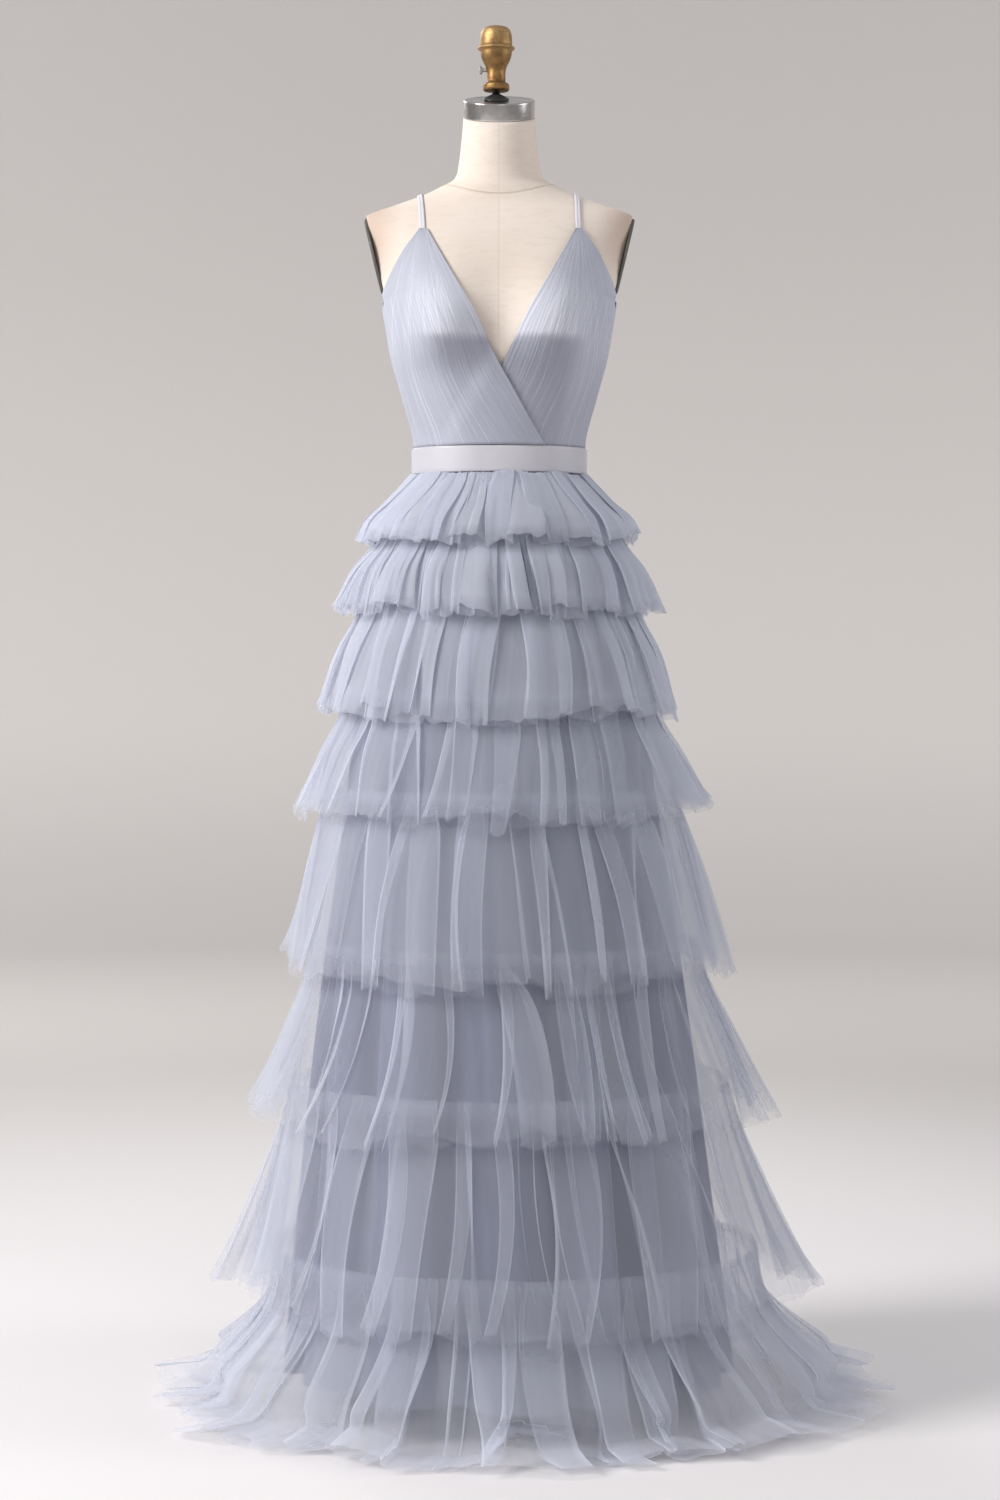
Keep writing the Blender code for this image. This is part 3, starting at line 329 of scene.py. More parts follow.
def surface(name, grid, uv=None, around=False, masks=None, inside_out=False, normals=None):
    """A mesh over a grid of points, rows by columns, each four points a face. around
    joins the last column to the first; uv, in metres, then has one column more. masks
    are named values at the points, and normals take the place of the grid's own. Faces
    are turned away from the z axis, or towards it with inside_out."""
    rows, columns = grid.shape[:2]
    spans = columns if around else columns - 1
    r, c = np.meshgrid(np.arange(rows - 1), np.arange(spans), indexing="ij")
    d = (c + 1) % columns
    corners = np.stack(
        [r * columns + c, (r + 1) * columns + c, (r + 1) * columns + d, r * columns + d], axis=-1
    )
    turned = [(r, c), (r + 1, c), (r + 1, c + 1), (r, c + 1)]
    a, b, e = (grid[corner[0], corner[1] % columns] for corner in (turned[0], turned[1], turned[3]))
    facing = np.cross(b - a, e - a)
    away = (facing[..., :2] * (a[..., :2] + 1e-9)).sum()
    if (away < 0) != inside_out:
        corners = corners[..., ::-1]
        turned = turned[::-1]
    faces = corners.reshape(-1, 4)
    mesh = bpy.data.meshes.new(name)
    mesh.vertices.add(rows * columns)
    mesh.vertices.foreach_set("co", grid.reshape(-1).astype(np.float32))
    mesh.loops.add(faces.size)
    mesh.loops.foreach_set("vertex_index", faces.reshape(-1).astype(np.int32))
    mesh.polygons.add(len(faces))
    mesh.polygons.foreach_set("loop_start", np.arange(0, faces.size, 4, dtype=np.int32))
    mesh.update(calc_edges=True)
    if uv is not None:
        layer = mesh.uv_layers.new(name="cloth")
        loops = np.stack([uv[p, q] for p, q in turned], axis=2)
        layer.uv.foreach_set("vector", loops.reshape(-1).astype(np.float32))
    for label, values in (masks or {}).items():
        made = mesh.attributes.new(label, "FLOAT", "POINT")
        made.data.foreach_set("value", np.asarray(values, np.float32).reshape(-1))
    mesh.validate()
    mesh.shade_smooth()
    if normals is not None:
        made = mesh.attributes.new("custom_normal", "FLOAT_VECTOR", "POINT")
        made.data.foreach_set("vector", normals.reshape(-1).astype(np.float32))
    obj = bpy.data.objects.new(name, mesh)
    bpy.context.scene.collection.objects.link(obj)
    return obj


def join_doubles(obj, distance=0.00002):
    """Merges points that coincide, such as those at a pole or a closing seam, and turns
    the faces outwards."""
    build = bmesh.new()
    build.from_mesh(obj.data)
    bmesh.ops.remove_doubles(build, verts=build.verts, dist=distance)
    bmesh.ops.dissolve_degenerate(build, edges=build.edges, dist=distance / 2)
    bmesh.ops.recalc_face_normals(build, faces=build.faces)
    build.to_mesh(obj.data)
    build.free()
    obj.data.shade_smooth()
    return obj


def turned(name, outline, sides, matrix, wave=None):
    """A turned piece: an outline of (radius, height) swept round its axis, then placed
    by a matrix. wave gives a factor on the radius for each outline point and angle."""
    outline = np.array(outline, float)
    angle = np.linspace(0, TURN, sides, endpoint=False)
    radius = np.repeat(outline[:, :1], sides, axis=1)
    if wave is not None:
        radius = radius * wave(outline[:, 1:2], angle[None, :])
    height = np.repeat(outline[:, 1:2], sides, axis=1)
    local = np.stack(
        [radius * np.cos(angle), radius * np.sin(angle), height, np.ones_like(height)], axis=-1
    )
    placed = local @ np.array(matrix).T
    return join_doubles(surface(name, placed[..., :3], around=True))


def rounded(outline, radius, steps=3):
    """An outline with each corner rounded: points along a quadratic curve from radius
    before the corner to radius after it."""
    outline = np.array(outline, float)
    made = [outline[:1]]
    for before, corner, after in zip(outline, outline[1:], outline[2:]):
        near = min(radius, np.linalg.norm(corner - before) * 0.45)
        far = min(radius, np.linalg.norm(after - corner) * 0.45)
        start = corner + (before - corner) / np.linalg.norm(before - corner) * near
        end = corner + (after - corner) / np.linalg.norm(after - corner) * far
        t = np.linspace(0, 1, steps + 1)[:, None]
        made.append((1 - t) ** 2 * start + 2 * t * (1 - t) * corner + t**2 * end)
    made.append(outline[-1:])
    return np.concatenate(made)


def dress_piece(obj, finish, nodes, body=GOWN):
    """Gives a finished piece its finish, and puts it in place of solids."""
    obj.data.materials.clear()
    obj.data.materials.append(finish)
    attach(obj, body)
    if nodes:
        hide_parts(*nodes)
    return obj


# ------------------------------------------------------------------ finishes


def finish_tree(name, roughness, **constants):
    """A material with one Principled shader; constants go on its own sockets."""
    made = bpy.data.materials.new(name)
    made.use_nodes = True
    tree = made.node_tree
    shader = tree.nodes["Principled BSDF"]
    shader.inputs["Roughness"].default_value = roughness
    for socket, value in constants.items():
        shader.inputs[socket.replace("_", " ")].default_value = value
    return made, tree, shader


def place(tree, kind, inputs=(), **settings):
    """A node with its inputs set, by name or number, to values or to other outputs."""
    node = tree.nodes.new(kind)
    for key, value in settings.items():
        setattr(node, key, value)
    for key, value in dict(inputs).items():
        if isinstance(value, bpy.types.NodeSocket):
            tree.links.new(value, node.inputs[key])
        else:
            node.inputs[key].default_value = value
    return node


def sums(tree, operation, first, second=0.0, third=0.0):
    """One step of arithmetic on values."""
    made = place(tree, "ShaderNodeMath", {0: first, 1: second, 2: third}, operation=operation)
    return made.outputs[0]


def ramp(tree, value, low, high, out_low=0.0, out_high=1.0):
    """A value eased from out_low, at low and under, to out_high, at high and over."""
    made = place(
        tree,
        "ShaderNodeMapRange",
        {"Value": value, "From Min": low, "From Max": high, "To Min": out_low, "To Max": out_high},
        interpolation_type="SMOOTHSTEP",
    )
    return made.outputs["Result"]


def mixed(tree, factor, first, second):
    """A colour between two, each a tone or another node's output."""
    made = place(
        tree,
        "ShaderNodeMix",
        {0: factor, 6: (*first, 1) if isinstance(first, tuple) else first,
         7: (*second, 1) if isinstance(second, tuple) else second},
        data_type="RGBA",
    )
    return made.outputs[2]


def noise(tree, vector, scale, detail=2.0, stretch=(1, 1, 1)):
    """Noise about 0.5 over a vector, which is stretched first."""
    placed = place(tree, "ShaderNodeMapping", {"Vector": vector, "Scale": stretch})
    made = place(
        tree, "ShaderNodeTexNoise", {"Vector": placed.outputs[0], "Scale": scale, "Detail": detail}
    )
    return made.outputs[0]


def bump(tree, shader, height, distance, strength=1.0):
    """Relief on a shader, from a height of 0 to 1 that stands for a distance."""
    made = place(
        tree, "ShaderNodeBump", {"Height": height, "Distance": distance, "Strength": strength}
    )
    tree.links.new(made.outputs[0], shader.inputs["Normal"])


def group(name, inputs, outputs):
    """An empty node group with named inputs and outputs."""
    made = bpy.data.node_groups.new(name, "ShaderNodeTree")
    for label, kind in inputs:
        made.interface.new_socket(label, in_out="INPUT", socket_type=kind)
    for label in outputs:
        made.interface.new_socket(label, in_out="OUTPUT", socket_type="NodeSocketFloat")
    start = made.nodes.new("NodeGroupInput")
    end = made.nodes.new("NodeGroupOutput")
    return made, start, end


def weave_group():
    """Plain weave: threads both ways, as noise drawn out along each, with slubs."""
    made, start, end = group(
        "plain_weave", [("Place", "NodeSocketVector"), ("Threads", "NodeSocketFloat")], ["Height", "Slub"]
    )
    inputs = {0: start.outputs[0], "Scale": start.outputs[1]}
    scaled = place(made, "ShaderNodeVectorMath", inputs, operation="SCALE").outputs[0]
    level = noise(made, scaled, 1.0, 1.0, (0.10, 0.10, 1.0))
    upright = noise(made, scaled, 1.0, 1.0, (1.0, 1.0, 0.10))
    height = sums(made, "ADD", level, upright)
    slub = noise(made, scaled, 0.08, 2.0, (0.6, 0.6, 2.0))
    made.links.new(sums(made, "MULTIPLY", height, 0.5), end.inputs[0])
    made.links.new(slub, end.inputs[1])
    return made


def fall_group():
    """Fine streaks down gathered cloth: noise on the cloth's own metres, drawn out along
    the fall."""
    made, start, end = group("fall_streaks", [("Cloth", "NodeSocketVector")], ["Fine"])
    made.links.new(noise(made, start.outputs[0], 1.0, 3.0, (520, 9, 1)), end.inputs[0])
    return made


WEAVE, FALL = weave_group(), fall_group()


def grouped(tree, made, inputs):
    """A node that uses a group, with its inputs set."""
    node = tree.nodes.new("ShaderNodeGroup")
    node.node_tree = made
    for key, value in inputs.items():
        if isinstance(value, bpy.types.NodeSocket):
            tree.links.new(value, node.inputs[key])
        else:
            node.inputs[key].default_value = value
    return node


def object_place(tree):
    """Place on the object, in metres."""
    return tree.nodes.new("ShaderNodeTexCoord").outputs["Object"]


def linen_finish():
    """Fine cream linen with faint slubs, a drawn thread down the front and back seams,
    a soft line round the foot of the neck, and painted shade, warmer and darker, towards the armholes."""
    made, tree, shader = finish_tree("linen", 0.85, Sheen_Weight=0.12, Specular_IOR_Level=0.25)
    at = object_place(tree)
    cloth = grouped(tree, WEAVE, {"Place": at, "Threads": 1300.0})
    split = place(tree, "ShaderNodeSeparateXYZ", {0: at})
    from_middle = sums(tree, "ABSOLUTE", split.outputs[0])
    seam = ramp(tree, from_middle, 0.0004, 0.0012, 1.0, 0.0)
    ring = place(tree, "ShaderNodeAttribute", attribute_name="seam").outputs["Fac"]
    seam = sums(tree, "MAXIMUM", sums(tree, "MULTIPLY", seam, 0.22), ring)
    patch = noise(tree, at, 9.0, 2.0)
    base = mixed(tree, ramp(tree, patch, 0.35, 0.65), LINEN_COOL, LINEN_WARM)
    base = mixed(tree, ramp(tree, cloth.outputs["Slub"], 0.45, 0.75, 0.0, 0.25), base, LINEN_SLUB)
    wear_and_shade = place(tree, "ShaderNodeAttribute", attribute_name="wear_and_shade").outputs["Fac"]
    # Painted shade, darker and warmer towards the armholes.
    base = mixed(tree, sums(tree, "MULTIPLY", wear_and_shade, 0.75), base, LINEN_PAINTED_SHADE)
    base = mixed(tree, sums(tree, "MULTIPLY", seam, 0.65), base, LINEN_SEAM)
    tree.links.new(base, shader.inputs["Base Color"])
    height = sums(tree, "SUBTRACT", sums(tree, "MULTIPLY", cloth.outputs["Height"], 0.25), seam)
    bump(tree, shader, height, 0.0006, 0.8)
    return made


def metal_finish(name, tone, dark, roughness, grain, depth, stretch, metallic=1.0):
    """Metal whose roughness and tone vary with grain."""
    made, tree, shader = finish_tree(name, roughness)
    shader.inputs["Metallic"].default_value = metallic
    at = object_place(tree)
    fine = noise(tree, at, grain, 4.0, stretch)
    broad = noise(tree, at, grain * 0.12, 3.0)
    base = mixed(tree, ramp(tree, broad, 0.35, 0.7), tone, dark)
    tree.links.new(base, shader.inputs["Base Color"])
    rough = ramp(tree, fine, 0.2, 0.8, roughness * 0.75, roughness * 1.3)
    tree.links.new(rough, shader.inputs["Roughness"])
    bump(tree, shader, fine, depth, 0.6)
    return made


def gilt_finish():
    """Aged gold paint on a rough casting: rubbed brighter high up, brown in patches."""
    made, tree, shader = finish_tree("gold", 0.45)
    at = object_place(tree)
    grain = noise(tree, at, 900.0, 3.0)
    patch = noise(tree, at, 85.0, 4.0)
    wear_and_shade = place(tree, "ShaderNodeAttribute", attribute_name="wear_and_shade").outputs["Fac"]
    base = mixed(tree, ramp(tree, patch, 0.30, 0.70), GILT, GILT_BROWN)
    base = mixed(tree, sums(tree, "MULTIPLY", wear_and_shade, ramp(tree, grain, 0.3, 0.6)), base, GILT_RUBBED)
    tree.links.new(base, shader.inputs["Base Color"])
    tree.links.new(ramp(tree, patch, 0.3, 0.8, 0.90, 0.55), shader.inputs["Metallic"])
    tree.links.new(ramp(tree, grain, 0.2, 0.8, 0.28, 0.62), shader.inputs["Roughness"])
    bump(tree, shader, sums(tree, "ADD", grain, sums(tree, "MULTIPLY", patch, 2.0)), 0.0005, 0.7)
    return made


def sheer(tree, shader, tone, cover):
    """Thin open cloth: half of what light it stops comes back and half goes on through
    it, scattered, and the rest passes straight between the threads."""
    through = place(tree, "ShaderNodeBsdfTranslucent", {"Color": tone})
    cloth = place(tree, "ShaderNodeMixShader", {0: 0.5, 1: shader.outputs[0], 2: through.outputs[0]})
    clear = tree.nodes.new("ShaderNodeBsdfTransparent")
    both = place(tree, "ShaderNodeMixShader", {0: cover, 1: clear.outputs[0], 2: cloth.outputs[0]})
    tree.links.new(both.outputs[0], tree.nodes["Material Output"].inputs["Surface"])


def tulle_finish():
    """Soft tulle: how much it covers and how pale it is come with the cloth. As with any
    thin net, less light passes straight through where it is met at a slant."""
    made, tree, shader = finish_tree("tulle", 0.9, Specular_IOR_Level=0.0)
    cover, tone = (
        place(tree, "ShaderNodeAttribute", attribute_name=label).outputs["Fac"]
        for label in ("cover", "tone")
    )
    base = mixed(tree, tone, TULLE_DARK, TULLE_LIGHT)
    tree.links.new(base, shader.inputs["Base Color"])
    slant = place(tree, "ShaderNodeLayerWeight", {"Blend": 0.5}).outputs["Facing"]
    slant = sums(tree, "POWER", slant, 2.0)
    slant = sums(tree, "MULTIPLY_ADD", slant, SLANT_COVER, 1.0)
    cover = sums(tree, "MINIMUM", sums(tree, "MULTIPLY", cover, slant), MOST_COVER)
    sheer(tree, shader, base, cover)
    return made


def bodice_finish():
    """Tulle gathered over an opaque backing: paler on the pleats' crests and over the upper
    cup, as painted highlight, and darker under the bust, as painted shade."""
    made, tree, shader = finish_tree(
        "bodice_tulle", 0.8, Sheen_Weight=0.15, Sheen_Roughness=0.35, Specular_IOR_Level=0.2
    )
    cloth = tree.nodes.new("ShaderNodeUVMap").outputs[0]
    streak = grouped(tree, FALL, {"Cloth": cloth})
    # Painted highlight on the pleats' crests and the upper cup.
    crest_highlight = place(tree, "ShaderNodeAttribute", attribute_name="crest_highlight").outputs["Fac"]
    fine = ramp(tree, streak.outputs["Fine"], 0.35, 0.75)
    tone = sums(tree, "ADD", sums(tree, "MULTIPLY", fine, 0.5), sums(tree, "MULTIPLY", crest_highlight, 0.65))
    base = mixed(tree, ramp(tree, tone, 0.0, 1.1), PLEAT_HOLLOW, PLEAT_CREST)
    # Painted shade under the bust.
    under_bust_shade = place(tree, "ShaderNodeAttribute", attribute_name="under_bust_shade").outputs["Fac"]
    base = mixed(tree, sums(tree, "MULTIPLY", under_bust_shade, 0.50), base, UNDER_BUST_SHADE_TONE)
    tree.links.new(base, shader.inputs["Base Color"])
    bump(tree, shader, fine, 0.0003, 0.5)
    return made


def satin_finish(name, tone, dark, roughness, sheen):
    """Satin: a smooth face with a fine cross rib and soft broad changes of tone."""
    made, tree, shader = finish_tree(
        name, roughness, Sheen_Weight=sheen, Sheen_Roughness=0.3, Specular_IOR_Level=0.45
    )
    at = object_place(tree)
    thread = noise(tree, at, 1.0, 2.0, (260, 260, 3200))
    broad = noise(tree, at, 14.0, 2.0, (1, 1, 0.35))
    base = mixed(tree, ramp(tree, broad, 0.3, 0.7), tone, dark)
    base = mixed(tree, ramp(tree, thread, 0.4, 0.8, 0.0, 0.12), base, dark)
    tree.links.new(base, shader.inputs["Base Color"])
    rough = ramp(tree, thread, 0.2, 0.8, roughness * 0.85, roughness * 1.2)
    tree.links.new(rough, shader.inputs["Roughness"])
    bump(tree, shader, thread, 0.00015, 0.4)
    return made


# ------------------------------------------------------------------ the dress form


def linen_torso(finish):
    """The form's own surface on a fine grid, closed over its flat bottom and top."""
    sides = 180
    heights = np.concatenate(
        [
            np.linspace(0.930, 1.4259, 44),
            np.linspace(1.4262, 1.5412, 26),
            np.linspace(1.5425, 1.5900, 48),
            np.linspace(1.5920, NECK_TOP, 16),
        ]
    )
    angle = np.linspace(0, TURN, sides, endpoint=False)[None, :]
    grid = form_point(angle, heights[:, None])
    ends = [np.repeat(grid[i].mean(axis=0)[None], sides, axis=0) for i in (0, -1)]
    lids = [grid[i] * 0.985 + ends[i] * 0.015 for i in (0, -1)]
    grid = np.concatenate([ends[0][None], lids[0][None], grid, lids[1][None], ends[1][None]])
    neck = NECK_SEAM + NECK_SEAM_RISE * grid[..., 0] ** 2 + 0.2 * np.maximum(grid[..., 1], 0)
    line = np.exp(-(((grid[..., 2] - neck) / SEAM_HALF) ** 2)) * (grid[..., 2] > 1.5)
    # Painted shade towards the armholes.
    wear_and_shade = ease((np.abs(grid[..., 0]) - LINEN_SHADE_FROM) / LINEN_SHADE_OVER) * ease((grid[..., 2] - 1.44) / 0.05)
    obj = surface("torso_linen", grid, around=True, masks={"seam": line, "wear_and_shade": wear_and_shade})
    join_doubles(obj)
    dress_piece(obj, finish, ["form_torso"])
    return obj


def arm_plates(finish):
    """Oval plates with rounded rims over the flat armholes."""
    slant = math.atan2(ARMHOLE_HIGH_X - ARMHOLE_LOW_X, ARMHOLE_HIGH - ARMHOLE_LOW)
    middle_z = (ARMHOLE_LOW + ARMHOLE_HIGH) / 2 - 0.001
    for side, name in ((-1, "right"), (1, "left")):
        matrix = (
            Matrix.Translation((side * (armhole_x(middle_z) + SEAM), 0.006, middle_z))
            @ Matrix.Rotation(side * (math.pi / 2 + slant), 4, "Y")
            @ Matrix.Translation((0, 0, SEAM))
            @ Matrix.Diagonal((0.050, 0.046, 1, 1))
        )
        outline = rounded([(0, 0), (1.0, 0), (1.0, 0.0030), (0.955, 0.0040), (0, 0.0040)], 0.02)
        plate = turned(f"plate_{name}", outline, 72, matrix)
        dress_piece(plate, finish, [f"arm_plate_{name}"])


def neck_hardware(steel, black, gilt, zinc):
    """The cap on the leaning neck, the washer and rod, the cast finial and its screw."""
    tilt = Matrix.Rotation(NECK_TILT, 4, "X")
    up = tilt @ Vector((0, 0, 1))
    foot = Vector((0, 0, NECK_TOP)) + up * SEAM
    radius, height = CAP_RADIUS, CAP_HEIGHT
    outline = rounded(
        [(0, 0), (radius - 0.0005, 0), (radius, 0.0015), (radius, height - 0.0012),
         (radius - 0.0012, height), (radius - 0.006, height),
         (radius - 0.0068, height - 0.0004), (0, height - 0.0004)],
        0.0008,
    )
    cap = turned("cap_steel", outline, 96, Matrix.Translation(foot) @ tilt)
    dress_piece(cap, steel, ["neck_cap"])

    top = foot + up * height
    washer = rounded(
        [(0, 0.0002), (0.0170, 0.0002), (0.0165, 0.0018), (0.0100, 0.0050),
         (0.0052, 0.0072), (0.0052, 0.0300), (0, 0.0300)],
        0.0012,
    )
    lean = Matrix.Translation(Vector((FINIAL_X, top.y, top.z))) @ tilt
    cone = turned("washer_black", washer[washer[:, 1] < 0.0075], 48, lean)
    rod = turned(
        "rod_black", [(0, 0), (0.0050, 0), (0.0050, 0.044), (0, 0.044)], 32,
        Matrix.Translation((FINIAL_X, 0, 1.6925)),
    )
    dress_piece(rod, black, ["finial_rod"])
    dress_piece(cone, black, ["finial_rod"])

    # The finial's half outline, upwards: radius, height.
    profile = np.array(
        (
            (0.0000, 0.0000), (0.0135, 0.0000), (0.0160, 0.0005), (0.0172, 0.0020), (0.0171, 0.0080),
            (0.0160, 0.0096), (0.0132, 0.0108), (0.0122, 0.0125), (0.0121, 0.0230), (0.0125, 0.0275),
            (0.0140, 0.0325), (0.0164, 0.0370), (0.0187, 0.0420), (0.0200, 0.0470), (0.0204, 0.0520),
            (0.0212, 0.0532), (0.0236, 0.0541), (0.0243, 0.0556), (0.0236, 0.0572), (0.0213, 0.0580),
            (0.0206, 0.0590), (0.0209, 0.0600), (0.0208, 0.0680), (0.0201, 0.0740), (0.0185, 0.0790),
            (0.0155, 0.0822), (0.0105, 0.0840), (0.0050, 0.0846), (0.0000, 0.0846),
        )
    )
    steps = np.linspace(0, len(profile) - 1, 110)
    fine = np.stack([np.interp(steps, np.arange(len(profile)), profile[:, k]) for k in (0, 1)], axis=1)
    matrix = Matrix.Translation((FINIAL_X, 0, FINIAL_BOTTOM))
    finial = turned(
        "finial_cast", fine, 72, matrix,
        lambda h, a: 1 + 0.008 * np.sin(3 * a + h * 160) * np.sin(2 * a - h * 90),
    )
    points = np.empty(len(finial.data.vertices) * 3)
    finial.data.vertices.foreach_get("co", points)
    rise = points.reshape(-1, 3)[:, 2] - FINIAL_BOTTOM
    reach = np.hypot(points.reshape(-1, 3)[:, 0] - FINIAL_X, points.reshape(-1, 3)[:, 1])
    wear_and_shade = ease((reach - 0.0175) / 0.006) * 0.5 + 0.7 * ease((rise - 0.064) / 0.02)
    made = finial.data.attributes.new("wear_and_shade", "FLOAT", "POINT")
    made.data.foreach_set("value", wear_and_shade.astype(np.float32))
    dress_piece(finial, gilt, ["finial"])

    screw = turned(
        "screw_zinc",
        rounded([(0, 0.0054), (0.0024, 0.0054), (0.0024, 0.0172), (0.0036, 0.0172), (0.0036, 0.0186),
                 (0.0056, 0.0186), (0.0056, 0.0215), (0, 0.0215)], 0.0004, 2),
        88,
        Matrix.Translation((FINIAL_X, 0, SCREW_Z)) @ Matrix.Rotation(-math.pi / 2, 4, "Y"),
        lambda h, a: 1 - 0.07 * (h > 0.0188) * (0.5 + 0.5 * np.cos(KNURLS * a)),
    )
    dress_piece(screw, zinc, ["thumbscrew"], "thumbscrew")


# ------------------------------------------------------------------ the bodice


def neckline_x(z, side):
    """Where a front's neckline lies: a straight line from the strap across the middle."""
    share = (CUP_TIP - z) / (CUP_TIP - WAIST_TOP)
    return NECK_MIDDLE + side * (0.0945 - 0.1480 * share)


def cup_edge_x(z, side):
    """Where a front's outer edge lies, moving over with the V neck towards the strap."""
    share = (z - UNDERARM) / (CUP_TIP - UNDERARM)
    return side * np.interp(z, CUP_EDGE[:, 0], CUP_EDGE[:, 1]) + NECK_MIDDLE * np.clip(share, 0, 1)


def gathers(share, along, seed, count, rise, first=0.0, thin=1.0):
    """Uneven soft pleats from share first to 1: each a ridge at its own place across,
    steeper on one side, with its own width and height, that wanders a little and fades
    in and out along. thin narrows them all."""
    rng = np.random.default_rng(seed)
    places = first + (1 - first) * (np.arange(count) + rng.uniform(-0.35, 0.35, count)) / (count - 1)
    height, crest = np.zeros_like(share), np.zeros_like(share)
    for k in range(count):
        middle = places[k] + 0.006 * np.sin(TURN * (along * rng.uniform(0.6, 1.4) + rng.uniform()))
        width = rng.uniform(0.25, 0.60) * thin * (1 - first) / count
        away = (share - middle) / width
        away = np.where(away > 0, away * 1.7, away)
        start, end = rng.uniform(-0.5, 0.25), rng.uniform(0.7, 1.6)
        shown = ease((along - start) / 0.22) * ease((end - along) / 0.25)
        one = rng.uniform(0.2, 1.0) ** 1.6 * shown
        height = np.maximum(height, one * np.exp(-(away**2)))
        crest = np.maximum(crest, one * np.exp(-((away * 2.2) ** 2)))
    return height * rise, crest


def tucked(grid, clear, edges):
    """The grid with an extra row or column turned in under each named edge."""
    out = outward(grid)
    for edge in edges:
        axis = 0 if edge in ("first_row", "last_row") else 1
        first = edge.startswith("first")
        index = 0 if first else -1
        rim = np.take(grid, [index], axis=axis) - np.take(out, [index], axis=axis) * clear
        parts = [rim, grid] if first else [grid, rim]
        grid = np.concatenate(parts, axis=axis)
        more = np.take(out, [index], axis=axis)
        out = np.concatenate([more, out] if first else [out, more], axis=axis)
    return grid


def extend(values, edges):
    """Repeats the values along each named edge, to fit a tucked grid."""
    for edge in edges:
        axis = 0 if edge in ("first_row", "last_row") else 1
        first = edge.startswith("first")
        rim = np.take(values, [0 if first else -1], axis=axis)
        values = np.concatenate([rim, values] if first else [values, rim], axis=axis)
    return values


def bodice_front(side, over, finish):
    """A front: columns from the side seam to the neckline, rows from the waist to the
    strap, on the form's surface over a padded cup. Its gathers fan out from the strap:
    they follow shares of the way from a line that leaves the side seam, rising as a
    power of the height to the strap, to the neckline. They flatten where the edge bends
    at the underarm. One mask is painted highlight, paler on crests and over the upper
    cup; the other is painted shade below the bust."""
    steps = np.linspace(0, len(BODICE_HEIGHTS) - 1, FRONT_ROWS)
    z = np.interp(steps, np.arange(len(BODICE_HEIGHTS)), BODICE_HEIGHTS)[:, None]
    seam = SEAM / 0.25
    at_side = angle_at(side * 1.0, z) + np.where(side > 0, -seam, seam)
    at_edge = angle_at(cup_edge_x(np.maximum(z, ARMHOLE_END), side), z)
    turning = ease((z - UNDERARM + 0.0065) / (ARMHOLE_END - UNDERARM + 0.0065))
    first = at_side + (at_edge - at_side) * turning
    last = angle_at(neckline_x(z, side), z)
    share = np.linspace(0, 1, FRONT_COLUMNS)[None, :]
    angle, heights = first + (last - first) * share, z + 0 * share
    share = share + 0 * z
    base = form_point(angle, heights, UNDERARM_EASING)
    out = form_normal(angle, heights, UNDERARM_EASING)
    clear = BODICE_CLEAR + 0 * heights
    if over:
        reach = side * (base[..., 0] - neckline_x(heights, -side))
        lift = ease(1 - (reach - 0.004) / 0.030) * ease((1.375 - heights) / 0.030)
        clear = clear + lift * (CLOTH + PLEAT_RISE + 0.0010)
    along = (heights - WAIST_TOP) / (CUP_TIP - WAIST_TOP)
    tip = angle_at(cup_edge_x(CUP_TIP, side), CUP_TIP)
    start = at_side + (tip - at_side) * np.clip((z - FAN_FOOT) / (CUP_TIP - FAN_FOOT), 0, 0.98) ** 1.5
    fan = (angle - start) / (last - start)
    key = 11 if over else 12
    fine, faint = gathers(fan, along, key, FINE_PLEATS, 0.55, -0.7)
    bold, crest = gathers(fan, along, key + 30, BOLD_PLEATS, 1.0, -0.7, 0.45)
    rise, crest = np.maximum(fine, bold), np.maximum(0.6 * faint, crest)
    size = PLEAT_RISE * (0.85 - 0.50 * ease(along * 1.4 - 0.1))
    bend = np.exp(-(((heights - UNDERARM) / 0.009) ** 2)) * ease(1 - share * 3)
    size = size * (1 - 0.85 * bend)
    # Painted shade under the bust, deeper on the wearer's left, away from the key light, and towards the
    # waist.
    below = (UNDER_BUST_SHADE_TOP - heights) / (UNDER_BUST_SHADE_TOP - WAIST_TOP)
    inside = UNDER_BUST_SHADE_X[side] - UNDER_BUST_SHADE_TAPER[side] * below - np.abs(base[..., 0])
    across = ease(0.5 + inside / UNDER_BUST_SHADE_SIDE_FADE)
    under_bust_shade = across * ease(0.5 + below / UNDER_BUST_SHADE_TOP_FADE) * (1 - 0.25 * np.clip(below, 0, 1))
    under_bust_shade = under_bust_shade * (1.0 if over else 1.25)
    under_bust_shade = np.maximum(under_bust_shade, 0.46 * ease(0.1 + below * 1.5) * (1.0 if over else 1.4))
    # Painted highlight on the upper cup, above the shade under the bust.
    upper_cup_highlight = across * ease(0.5 - below / UNDER_BUST_SHADE_TOP_FADE) * ease((1.470 - heights) / 0.060)
    crest = crest + 0.40 * upper_cup_highlight
    inner = np.exp(-(((np.abs(base[..., 0]) - CUP_PAD_X) / CUP_PAD_REACH) ** 4))
    pad = CUP_PAD * inner * ease((heights - CUP_PAD_FOOT) / 0.011) * ease((1.450 - heights) / 0.065)
    grid = base + out * (clear + CLOTH + pad + rise * size)[..., None]
    grid[0, :, 2] = WAIST_TOP + SEAM
    edges = ("first_row", "last_row", "first_column", "last_column")
    uv = np.stack([share * 0.36, along * 0.29], axis=-1)
    name = "left" if side > 0 else "right"
    obj = surface(
        f"front_{name}_gathered",
        tucked(grid, CLOTH + 0.0004, edges),
        extend(uv, edges),
        masks={"crest_highlight": extend(crest, edges), "under_bust_shade": extend(under_bust_shade, edges)},
    )
    dress_piece(obj, finish, [f"bodice_front_{name}"])


def back_top(angle):
    """The height of the back's top edge, dipping from the underarms to the zip."""
    return BACK_DIP + (UNDERARM - BACK_DIP) * np.abs(np.cos(angle)) ** 1.5


